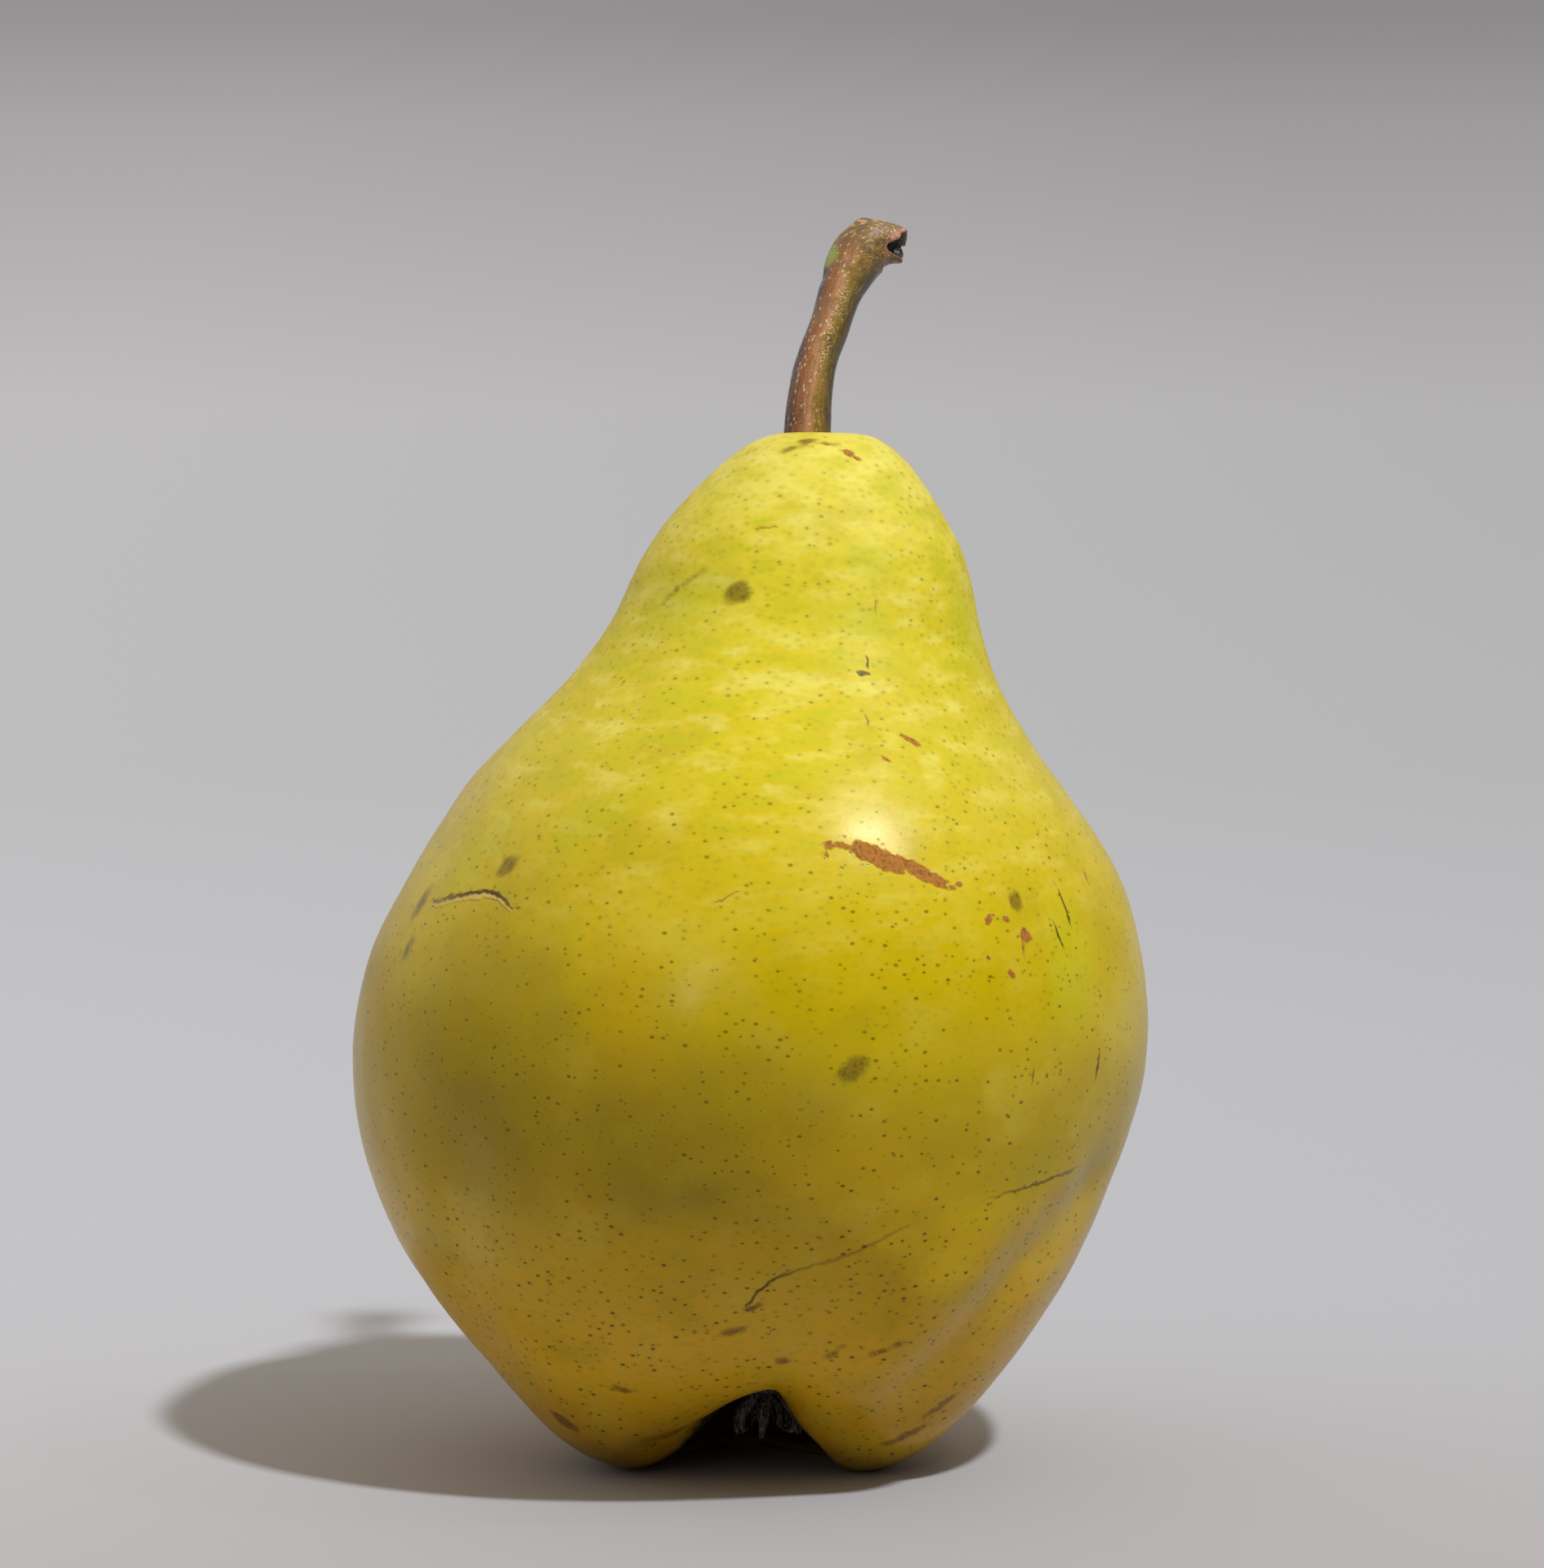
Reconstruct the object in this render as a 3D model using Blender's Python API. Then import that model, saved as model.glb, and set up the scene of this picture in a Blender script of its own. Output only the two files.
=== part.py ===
"""A ripe pear standing on its blossom end, built at its real size.

The pear is three pieces. The fruit is one solid of flesh and skin. The woody stem stands in a socket in
the fruit's crown. The calyx, the dried remains of the blossom, hangs in the basin under the fruit.
The fruit rests on flat spots ground on two side lobes and two rear lobes, and +Z is up.
"""

import bmesh
import bpy
import numpy as np

MM = 0.001
CLEARANCE = 0.3
"""Gap in millimetres that keeps each piece clear of its neighbour."""

# The fruit's outline, from the stem cavity over the crown, neck and belly to the basin round the calyx:
# distance from the fruit's own axis and height above the rim, in millimetres.
FRUIT_OUTLINE = (
    (0.0, 99.4), (4.0, 100.4), (7.6, 98.9), (12.1, 94.3), (15.8, 88.5), (18.0, 82.5), (22.4, 74.5),
    (28.5, 67.0), (33.8, 59.0), (38.1, 49.0), (39.2, 39.5), (36.7, 27.5), (31.1, 16.3), (25.0, 8.6),
    (19.6, 3.5), (14.6, 0.7), (10.6, 0.0), (7.8, 1.1), (5.4, 4.2), (3.3, 7.2), (0.0, 8.4),
)

# The axis sways sideways as it rises: height and sideways offset, in millimetres.
FRUIT_SWAY = (
    (0.0, -0.2), (13.0, -0.2), (26.0, -0.7), (38.0, -0.1), (48.0, 0.6), (58.0, 1.5), (68.0, 1.6),
    (76.0, 3.2), (84.0, 4.9), (92.0, 5.6), (102.0, 7.4),
)
LEAN_DEGREES = 8.0
LEAN_HEIGHT = 40.0
CENTRE_SHIFT = (-0.06, 0.37)
REST_HEIGHT = 0.9
"""Height of the rim's plane over the surface, before the lobes are ground flat."""

# The foot: the rim is lifted in front, which opens the basin there, and two side lobes reach down to
# the surface: each lobe's direction, its drop in millimetres and its half width in degrees.
FOOT_HEIGHT = 30.0
RIM_RADIUS = 10.6
FRONT_LIFT_DEGREES = -78.0
FRONT_LIFT = 7.4
FRONT_LIFT_NARROWNESS = 9
SIDE_LOBES = ((-187.0, 1.4, 38.0), (4.0, 1.7, 40.0))
SIDE_LOBE_REACH = 14.0
BASIN_SIDE_SHIFT = 2.4
FRONT_LOBE_DEGREES = -90.0
LOBE_COUNT = 5
LOBE_RISE = 0.6
LOBE_CENTRE = 0.86
LOBE_REACH = 0.07

# Swells and furrows of the skin: a path of (fraction down the outline, degrees round the axis),
# the rise, which is negative in a furrow, and the reach to either side, in millimetres.
FRUIT_FORMS = (
    (((0.91, -58.0), (0.87, -50.0), (0.82, -44.0), (0.76, -41.0), (0.69, -34.0), (0.64, -20.0)), -1.5, 3.4),
    (((0.85, -70.0), (0.80, -60.0), (0.74, -54.0), (0.67, -46.0)), 0.6, 4.5),
    (((0.92, -112.0), (0.89, -138.0)), -1.0, 2.2),
    (((0.61, -137.0), (0.75, -160.0)), -0.7, 4.5),
    (((0.84, -125.0),), 0.6, 9.0),
    (((0.40, -90.0),), 2.8, 20.0),
)
FRUIT_SEGMENTS = 76
FRUIT_RINGS = 54

# The stem: its centre line from the broken end down to the root, in millimetres, and its outline as
# distance from the centre line and distance along it, starting in the hollow of the broken end.
STEM_LINE = (
    (15.5, 17.2, 118.4), (13.3, 17.1, 118.7), (11.3, 16.5, 118.1), (10.0, 15.3, 116.3), (8.9, 13.8, 114.0),
    (7.9, 12.0, 111.0), (6.9, 10.8, 108.6), (6.1, 9.5, 105.5), (5.7, 8.4, 100.9), (5.5, 7.6, 95.0),
)
STEM_OUTLINE = (
    (0.0, 2.2), (0.8, 1.7), (1.2, 0.5), (1.65, 0.1), (1.95, 0.8), (2.4, 2.6), (2.85, 4.4), (2.75, 6.2),
    (2.35, 8.6), (2.1, 11.4), (2.05, 14.6), (2.1, 18.0), (2.25, 21.4), (2.4, 25.2), (2.0, 28.6), (0.0, 31.0),
)
STEM_BUMPS = (
    ((11.4, 17.0, 122.0), 0.55, 1.6),
    ((7.9, 15.3, 117.2), 0.15, 1.3),
)
STEM_SEGMENTS = 24
STEM_RINGS = 44

# The calyx: a woody cup with a plug into the fruit, dried sepals round it and withered threads inside.
CALYX_CENTRE = (1.6, -4.8)
CALYX_OUTLINE = (
    (0.0, 7.5), (1.3, 7.4), (2.1, 7.9), (2.0, 8.7), (1.5, 9.5), (1.4, 10.8), (0.9, 11.5), (0.0, 11.6),
)
SEPAL_COUNT = 5
SEPAL_FIRST_DEGREES = 208.0
SEPAL_RIB = ((0.6, 8.4), (1.7, 7.3), (2.7, 5.9), (3.1, 4.5), (3.9, 3.4))
SEPAL_HALF_WIDTH = 1.15
SEPAL_HALF_THICKNESS = 0.36
THREAD_COUNT = 7
THREAD_HALF_WIDTH = 0.48
THREAD_HALF_THICKNESS = 0.34


def natural_spline(knots, values, at):
    """Read a natural cubic spline through values at the given places."""
    knots = np.asarray(knots, float)
    values = np.asarray(values, float)
    count = len(knots)
    step = np.diff(knots)
    slope = np.diff(values, axis=0) / step[:, None]
    system = np.eye(count)
    right = np.zeros_like(values)
    inner = np.arange(1, count - 1)
    system[inner, inner - 1] = step[:-1]
    system[inner, inner] = 2 * (step[:-1] + step[1:])
    system[inner, inner + 1] = step[1:]
    right[inner] = 6 * np.diff(slope, axis=0)
    bend = np.linalg.solve(system, right)
    index = np.clip(np.searchsorted(knots, at, side="right") - 1, 0, count - 2)
    offset = (np.asarray(at, float) - knots[index])[:, None]
    span = step[index][:, None]
    start = slope[index] - span * (2 * bend[index] + bend[index + 1]) / 6
    curve = bend[index] / 2 + (bend[index + 1] - bend[index]) / (6 * span) * offset
    return values[index] + offset * (start + offset * curve)


def along_stations(stations, fraction):
    """Read a smooth curve through stations at fractions of its length, from 0 to 1."""
    stations = np.asarray(stations, float)
    reach = np.concatenate([[0.0], np.cumsum(np.linalg.norm(np.diff(stations, axis=0), axis=1))])
    return natural_spline(reach, stations, np.asarray(fraction, float) * reach[-1])


def smooth_ramp(value):
    """Turn 0..1 into 0..1 with level ends, and hold it outside."""
    value = np.clip(value, 0.0, 1.0)
    return value * value * (3 - 2 * value)


def turned_from(around, degrees):
    """Give the signed angle from a direction in degrees, in radians."""
    return np.angle(np.exp(1j * (around - np.radians(degrees))))


def revolve(outline, along, around):
    """Turn an outline round +Z and give its points and its outward directions."""
    nudge = 0.001
    section = along_stations(outline, along)
    ahead = along_stations(outline, np.clip(along + nudge, 0.0, 1.0))
    behind = along_stations(outline, np.clip(along - nudge, 0.0, 1.0))
    run = (ahead - behind) / np.linalg.norm(ahead - behind, axis=1)[:, None]
    east, north = np.cos(around), np.sin(around)
    points = np.stack([section[:, 0] * east, section[:, 0] * north, section[:, 1]], axis=1)
    outward = np.stack([-run[:, 1] * east, -run[:, 1] * north, run[:, 0]], axis=1)
    return points, outward


def distance_to_path(points, path):
    """Give each point's least distance to a path of straight runs, or to its only point."""
    nearest = np.linalg.norm(points - path[0], axis=1)
    for start, end in zip(path[:-1], path[1:]):
        run = end - start
        share = np.clip((points - start) @ run / (run @ run), 0.0, 1.0)
        nearest = np.minimum(nearest, np.linalg.norm(points - start - share[:, None] * run, axis=1))
    return nearest


def lift_foot(points, around):
    """Lift the rim in front, drop the side lobes and set the basin's middle off to one side."""
    radius = np.hypot(points[:, 0], points[:, 1])
    low = smooth_ramp((FOOT_HEIGHT - points[:, 2]) / FOOT_HEIGHT)
    wide = smooth_ramp(radius / RIM_RADIUS)
    lift = FRONT_LIFT * ((1 + np.cos(turned_from(around, FRONT_LIFT_DEGREES))) / 2) ** FRONT_LIFT_NARROWNESS
    near_rim = np.exp(-((radius - RIM_RADIUS) / SIDE_LOBE_REACH) ** 2)
    for degrees, drop, half_width in SIDE_LOBES:
        off = turned_from(around, degrees) / np.radians(half_width)
        lift = lift - drop * near_rim * np.exp(-off ** 2)
    lifted = points.copy()
    lifted[:, 0] += low * (1 - wide) * BASIN_SIDE_SHIFT
    lifted[:, 2] += low * wide * lift
    return lifted


def lean_and_sway(points):
    """Bend the upright fruit sideways, lean it back and set it at its resting height."""
    sway = np.asarray(FRUIT_SWAY)
    side = natural_spline(sway[:, 0], sway[:, 1:], points[:, 2])[:, 0]
    lean = np.radians(LEAN_DEGREES)
    over = points[:, 2] - LEAN_HEIGHT
    return np.stack([
        points[:, 0] + side + CENTRE_SHIFT[0],
        points[:, 1] * np.cos(lean) + over * np.sin(lean) + CENTRE_SHIFT[1],
        LEAN_HEIGHT + REST_HEIGHT + over * np.cos(lean) - points[:, 1] * np.sin(lean),
    ], axis=1)


def fruit_surface(along, around):
    """Give the fruit's skin: the turned outline with its lobes, swells and furrows, foot and lean."""
    points, outward = revolve(FRUIT_OUTLINE, along, around)
    ridge = np.cos(LOBE_COUNT * turned_from(around, FRONT_LOBE_DEGREES))
    rise = LOBE_RISE * np.exp(-((along - LOBE_CENTRE) / LOBE_REACH) ** 2) * ridge
    for path, height, reach in FRUIT_FORMS:
        down, turn = np.array(path).T
        route = revolve(FRUIT_OUTLINE, down, np.radians(turn))[0]
        rise = rise + height * np.exp(-(distance_to_path(points, route) / reach) ** 2)
    return lean_and_sway(lift_foot(points + rise[:, None] * outward, around))


def follow_line(line, points):
    """Carry points from a straight +Z axis onto a curved line, which starts at their height 0."""
    line = np.asarray(line, float)
    reach = np.concatenate([[0.0], np.cumsum(np.linalg.norm(np.diff(line, axis=0), axis=1))])
    place = natural_spline(reach, line, points[:, 2])
    run = natural_spline(reach, line, points[:, 2] + 0.1) - natural_spline(reach, line, points[:, 2] - 0.1)
    run /= np.linalg.norm(run, axis=1)[:, None]
    right = np.cross([0.0, 1.0, 0.0], run)
    right /= np.linalg.norm(right, axis=1)[:, None]
    ahead = np.cross(run, right)
    return place + points[:, :1] * right + points[:, 1:2] * ahead


def stem_surface(grow=0.0):
    """Give a function for the stem's bark, swollen by grow millimetres."""
    def surface(along, around):
        points, outward = revolve(STEM_OUTLINE, along, -around)
        bark = follow_line(STEM_LINE, points - grow * outward)
        aside = bark - follow_line(STEM_LINE, points * np.array([0.0, 0.0, 1.0]))
        aside /= np.maximum(np.linalg.norm(aside, axis=1), 1e-6)[:, None]
        for centre, height, reach in STEM_BUMPS:
            near = np.exp(-(np.linalg.norm(bark - centre, axis=1) / reach) ** 2)
            bark = bark + height * near[:, None] * aside
        return bark
    return surface


def cup_surface(grow=0.0):
    """Give a function for the calyx's cup and its plug, swollen by grow millimetres."""
    def surface(along, around):
        points, outward = revolve(CALYX_OUTLINE[::-1], along, around)
        return points + grow * outward + np.array([*CALYX_CENTRE, 0.0])
    return surface


def blade_surface(rib, degrees, half_width, half_thickness, twist=0.0):
    """Give a function for a pointed blade along a rib of (distance out, height), set at an angle."""
    def surface(along, around):
        fraction = 1 - along
        out, height = along_stations(rib, fraction).T
        ahead = along_stations(rib, np.clip(fraction + 0.01, 0.0, 1.0))
        run = ahead - along_stations(rib, np.clip(fraction - 0.01, 0.0, 1.0))
        run /= np.linalg.norm(run, axis=1)[:, None]
        fullness = np.sqrt(np.clip(np.sin(np.pi * along), 0.0, 1.0))
        across = half_width * fullness * (0.35 + 0.65 * along) * np.cos(around)
        through = half_thickness * fullness * np.sin(around)
        out = out - run[:, 1] * through
        height = height + run[:, 0] * through
        turn = np.radians(degrees) + twist * fraction
        return np.stack([
            CALYX_CENTRE[0] + out * np.cos(turn) - across * np.sin(turn),
            CALYX_CENTRE[1] + out * np.sin(turn) + across * np.cos(turn),
            height,
        ], axis=1)
    return surface


def make_collection(name):
    """Add a collection to the scene."""
    collection = bpy.data.collections.new(name)
    bpy.context.scene.collection.children.link(collection)
    return collection


def make_ball(name, collection, segments, rings, surface):
    """Warp a sphere onto a surface of (fraction from its top, angle round it)."""
    form = bmesh.new()
    bmesh.ops.create_uvsphere(form, u_segments=segments, v_segments=rings, radius=1.0)
    unit = np.array([vertex.co for vertex in form.verts])
    along = np.arccos(np.clip(unit[:, 2], -1.0, 1.0)) / np.pi
    around = np.arctan2(unit[:, 1], unit[:, 0])
    for vertex, place in zip(form.verts, surface(along, around) * MM):
        vertex.co = place
    form.normal_update()
    bmesh.ops.recalc_face_normals(form, faces=form.faces)
    mesh = bpy.data.meshes.new(name)
    form.to_mesh(mesh)
    form.free()
    mesh.shade_smooth()
    item = bpy.data.objects.new(name, mesh)
    collection.objects.link(item)
    return item


def make_material(name, colour, roughness):
    """Make a material from a colour and a roughness."""
    material = bpy.data.materials.new(name)
    material.use_nodes = True
    shader = material.node_tree.nodes["Principled BSDF"]
    shader.inputs["Base Color"].default_value = (*colour, 1.0)
    shader.inputs["Roughness"].default_value = roughness
    shader.inputs["Metallic"].default_value = 0.0
    return material


def mark_as_cutter(item):
    """Show an object as a wire guide that isn't part of the model."""
    item.hide_render = True
    item.display_type = "WIRE"


def cut(item, cutter):
    """Cut one object's shape out of another."""
    mark_as_cutter(cutter)
    modifier = item.modifiers.new(cutter.name, "BOOLEAN")
    modifier.operation = "DIFFERENCE"
    modifier.object = cutter


def make_ground_cutter(collection):
    """Make the block that grinds the resting spots flat at height zero."""
    form = bmesh.new()
    bmesh.ops.create_cube(form, size=1.0)
    bmesh.ops.scale(form, vec=(100 * MM, 100 * MM, 10 * MM), verts=form.verts)
    bmesh.ops.translate(form, vec=(0.0, 0.0, -5 * MM), verts=form.verts)
    mesh = bpy.data.meshes.new("ground_cutter")
    form.to_mesh(mesh)
    form.free()
    item = bpy.data.objects.new("ground_cutter", mesh)
    collection.objects.link(item)
    return item


def make_fruit(collection, cutters):
    """Make the fruit with its sockets for the stem and the calyx and its flat resting spots."""
    fruit = make_ball("fruit", collection, FRUIT_SEGMENTS, FRUIT_RINGS, fruit_surface)
    fruit.data.materials.append(make_material("waxy_pear_skin", (0.60, 0.50, 0.03), 0.32))
    stem_socket = make_ball("stem_socket", cutters, STEM_SEGMENTS, STEM_RINGS, stem_surface(CLEARANCE))
    calyx_socket = make_ball("calyx_socket", cutters, 20, 16, cup_surface(CLEARANCE))
    cut(fruit, stem_socket)
    cut(fruit, calyx_socket)
    cut(fruit, make_ground_cutter(cutters))
    return fruit


def make_stem(collection):
    """Make the woody stem with its swollen, hollow broken end."""
    stem = make_ball("stem", collection, STEM_SEGMENTS, STEM_RINGS, stem_surface())
    stem.data.materials.append(make_material("stem_bark", (0.22, 0.12, 0.03), 0.6))
    return stem


def make_calyx(collection):
    """Make the calyx and join its sepals and threads to its cup."""
    calyx = make_ball("calyx", collection, 20, 16, cup_surface())
    calyx.data.materials.append(make_material("dried_sepal", (0.06, 0.045, 0.035), 0.8))
    leaves = make_collection("calyx_leaves")
    for number in range(SEPAL_COUNT):
        degrees = SEPAL_FIRST_DEGREES + number * 360 / SEPAL_COUNT
        shape = blade_surface(SEPAL_RIB, degrees, SEPAL_HALF_WIDTH, SEPAL_HALF_THICKNESS)
        make_ball(f"sepal_{number}", leaves, 10, 9, shape)
    draw = np.random.default_rng(7)
    for number in range(THREAD_COUNT):
        out = draw.uniform(0.5, 1.7)
        low = draw.uniform(3.2, 4.8)
        rib = ((0.2 * out, 8.2), (0.7 * out, 6.4), (1.1 * out, 5.0), (1.3 * out + 0.3, low))
        degrees = (number + draw.uniform(-0.3, 0.3)) * 360 / THREAD_COUNT
        twist = draw.uniform(-1, 1)
        shape = blade_surface(rib, degrees, THREAD_HALF_WIDTH, THREAD_HALF_THICKNESS, twist)
        make_ball(f"thread_{number}", leaves, 6, 8, shape)
    modifier = calyx.modifiers.new("join_leaves", "BOOLEAN")
    modifier.operation = "UNION"
    modifier.operand_type = "COLLECTION"
    modifier.collection = leaves
    modifier.solver = "MANIFOLD"
    bpy.context.view_layer.update()
    graph = bpy.context.evaluated_depsgraph_get()
    joined = bpy.data.meshes.new_from_object(calyx.evaluated_get(graph))
    calyx.modifiers.clear()
    calyx.data = joined
    for leaf in list(leaves.objects):
        bpy.data.objects.remove(leaf)
    bpy.data.collections.remove(leaves)
    return calyx


def main():
    """Build the pear."""
    for item in list(bpy.data.objects):
        bpy.data.objects.remove(item)
    pear = make_collection("pear")
    cutters = make_collection("cutters")
    make_fruit(pear, cutters)
    make_stem(pear)
    make_calyx(pear)


main()
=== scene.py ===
"""The looks of a ripe pear that stands on its blossom end.

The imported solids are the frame. Every piece made here is a finer surface in the place of one of them: the
waxy skin of the fruit, the bark of its stem with the torn broken end, and the dried calyx in the basin under
it. Lengths are in millimetres until a mesh is made, +Z is up and -Y is the front, where the camera stands.
"""

import logging
import math
from dataclasses import dataclass, field
from enum import Enum
from typing import Callable

import bpy
import numpy as np
from mathutils import Matrix, Vector

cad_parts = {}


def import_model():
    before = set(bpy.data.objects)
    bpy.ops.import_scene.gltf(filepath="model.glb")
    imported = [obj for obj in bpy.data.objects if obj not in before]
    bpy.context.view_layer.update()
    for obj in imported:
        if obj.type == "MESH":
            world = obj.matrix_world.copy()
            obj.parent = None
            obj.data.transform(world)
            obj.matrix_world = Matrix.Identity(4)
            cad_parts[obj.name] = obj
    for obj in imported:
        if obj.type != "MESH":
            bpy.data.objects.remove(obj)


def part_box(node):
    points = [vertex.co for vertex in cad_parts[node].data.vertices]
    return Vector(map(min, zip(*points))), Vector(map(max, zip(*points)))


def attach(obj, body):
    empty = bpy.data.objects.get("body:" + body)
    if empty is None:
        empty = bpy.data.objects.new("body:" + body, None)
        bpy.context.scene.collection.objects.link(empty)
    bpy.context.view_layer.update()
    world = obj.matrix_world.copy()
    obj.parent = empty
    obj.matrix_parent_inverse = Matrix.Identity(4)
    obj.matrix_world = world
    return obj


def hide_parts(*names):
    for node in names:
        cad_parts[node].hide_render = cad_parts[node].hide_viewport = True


MM = 0.001
TINY = 1e-6
FAR = 1e6
BODY = "root"

Socket = bpy.types.NodeSocket
Surface = Callable[[np.ndarray, np.ndarray], np.ndarray]
Stations = tuple[tuple[float, ...], ...]
Tones = tuple[tuple[float, str], ...]
Blotches = tuple[tuple[float, float, float, str], ...]

log = logging.getLogger("pear")


def natural_spline(knots: np.ndarray, values: np.ndarray, at: np.ndarray) -> np.ndarray:
    """Read a natural cubic spline, which passes through every value and has no bend at its two ends.

    Args:
        knots: Rising places of the values.
        values: One row of values for each knot.
        at: Places to read.

    Returns:
        One row for each place read.
    """
    knots = np.asarray(knots, float)
    values = np.asarray(values, float)
    count = len(knots)
    step = np.diff(knots)
    slope = np.diff(values, axis=0) / step[:, None]
    system = np.eye(count)
    right = np.zeros_like(values)
    inner = np.arange(1, count - 1)
    system[inner, inner - 1] = step[:-1]
    system[inner, inner] = 2 * (step[:-1] + step[1:])
    system[inner, inner + 1] = step[1:]
    right[inner] = 6 * np.diff(slope, axis=0)
    bend = np.linalg.solve(system, right)
    index = np.clip(np.searchsorted(knots, at, side="right") - 1, 0, count - 2)
    offset = (np.asarray(at, float) - knots[index])[:, None]
    span = step[index][:, None]
    start = slope[index] - span * (2 * bend[index] + bend[index + 1]) / 6
    curve = bend[index] / 2 + (bend[index + 1] - bend[index]) / (6 * span) * offset
    return values[index] + offset * (start + offset * curve)


def unit(rows: np.ndarray) -> np.ndarray:
    """Give each row at a length of 1."""
    return rows / np.maximum(np.linalg.norm(rows, axis=1), TINY)[:, None]


def reach_of(stations: Stations | np.ndarray) -> np.ndarray:
    """Give the length of the straight runs up to each station."""
    return np.concatenate([[0.0], np.cumsum(np.linalg.norm(np.diff(np.asarray(stations), axis=0), axis=1))])


def along_stations(stations: Stations, fraction: np.ndarray) -> np.ndarray:
    """Read the spline through stations at fractions, from 0 to 1, of the length of the straight runs."""
    reach = reach_of(stations)
    return natural_spline(reach, stations, fraction * reach[-1])


def run_along(stations: Stations, fraction: np.ndarray, nudge: float) -> np.ndarray:
    """Give the unit direction of that spline at fractions, taken between a nudge ahead and one behind."""
    ahead = along_stations(stations, np.clip(fraction + nudge, 0.0, 1.0))
    return unit(ahead - along_stations(stations, np.clip(fraction - nudge, 0.0, 1.0)))


def smooth_ramp(value: np.ndarray) -> np.ndarray:
    """Turn 0..1 into 0..1 by 3v^2 - 2v^3, whose ends are level, and hold it outside."""
    value = np.clip(value, 0.0, 1.0)
    return value * value * (3 - 2 * value)


def turned_from(around: np.ndarray, degrees: float) -> np.ndarray:
    """Give the signed angle from a direction in degrees, in radians between -pi and pi."""
    return np.angle(np.exp(1j * (around - np.radians(degrees))))


def bell(distance: np.ndarray, reach: float) -> np.ndarray:
    """Give exp(-(distance / reach)^2), a smooth bump that is 1 in its middle."""
    return np.exp(-((distance / reach) ** 2))


def waves(points: np.ndarray, length: float, count: int, seed: int) -> np.ndarray:
    """Give a smooth seeded unevenness: the mean of plane cosine waves in random directions.

    Args:
        points: Places in millimetres, one row each.
        length: Wave length in millimetres.
        count: Number of waves.
        seed: Seed of the random directions and phases.

    Returns:
        One value for each point, about -1 to 1.
    """
    draw = np.random.default_rng(seed)
    heading = unit(draw.normal(size=(count, 3)))
    pitch = draw.uniform(0.7, 1.4, count)
    phase = draw.uniform(0, 2 * math.pi, count)
    angle = points @ (heading * pitch[:, None]).T * (2 * math.pi / length) + phase
    return np.cos(angle).sum(axis=1) / math.sqrt(count / 2)


def revolve(outline: Stations, along: np.ndarray, around: np.ndarray) -> tuple[np.ndarray, np.ndarray]:
    """Turn an outline round +Z: the point at radius r and angle a is (r cos a, r sin a, height).

    Args:
        outline: Stations of (radius, height).
        along: Fractions down the outline.
        around: Angles round the axis, in radians.

    Returns:
        The points and their outward directions.
    """
    radius, height = along_stations(outline, along).T
    run = run_along(outline, along, nudge=0.001)
    east, north = np.cos(around), np.sin(around)
    points = np.stack([radius * east, radius * north, height], axis=1)
    return points, np.stack([-run[:, 1] * east, -run[:, 1] * north, run[:, 0]], axis=1)


def distance_to_path(points: np.ndarray, path: np.ndarray) -> np.ndarray:
    """Give each point's least distance to a path of straight runs, or to its only point."""
    nearest = np.linalg.norm(points - path[0], axis=1)
    for start, end in zip(path[:-1], path[1:]):
        run = end - start
        share = np.clip((points - start) @ run / (run @ run), 0.0, 1.0)
        nearest = np.minimum(nearest, np.linalg.norm(points - start - share[:, None] * run, axis=1))
    return nearest


def follow_line(line: Stations, points: np.ndarray) -> np.ndarray:
    """Carry points from a straight +Z axis onto a curved line.

    The height becomes the length along the line, and the two sideways offsets go along its right and ahead
    directions, which stand square to it.

    Args:
        line: Stations of (x, y, z).
        points: Places round the straight axis, one row each.

    Returns:
        The same places round the line.
    """
    nudge = 0.1
    reach, height = reach_of(line), points[:, 2]
    place, above, below = (natural_spline(reach, line, height + step) for step in (0.0, nudge, -nudge))
    run = unit(above - below)
    right = unit(np.cross([0.0, 1.0, 0.0], run))
    return place + points[:, :1] * right + points[:, 1:2] * np.cross(run, right)


def keep_inside(points: np.ndarray, node: str) -> np.ndarray:
    """Hold points in the box of a CAD node."""
    low, high = (np.array(corner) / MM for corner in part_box(node))
    return np.clip(points, low, high)


def linear(code: str) -> tuple[float, float, float, float]:
    """Turn an sRGB hex colour into linear red, green and blue, with an alpha of 1.

    A channel up to 0.04045 is divided by 12.92, and above it is ((c + 0.055) / 1.055) to the power 2.4.
    """
    channels = [int(code[place:place + 2], 16) / 255 for place in (1, 3, 5)]
    return (*(c / 12.92 if c <= 0.04045 else ((c + 0.055) / 1.055) ** 2.4 for c in channels), 1.0)


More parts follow.
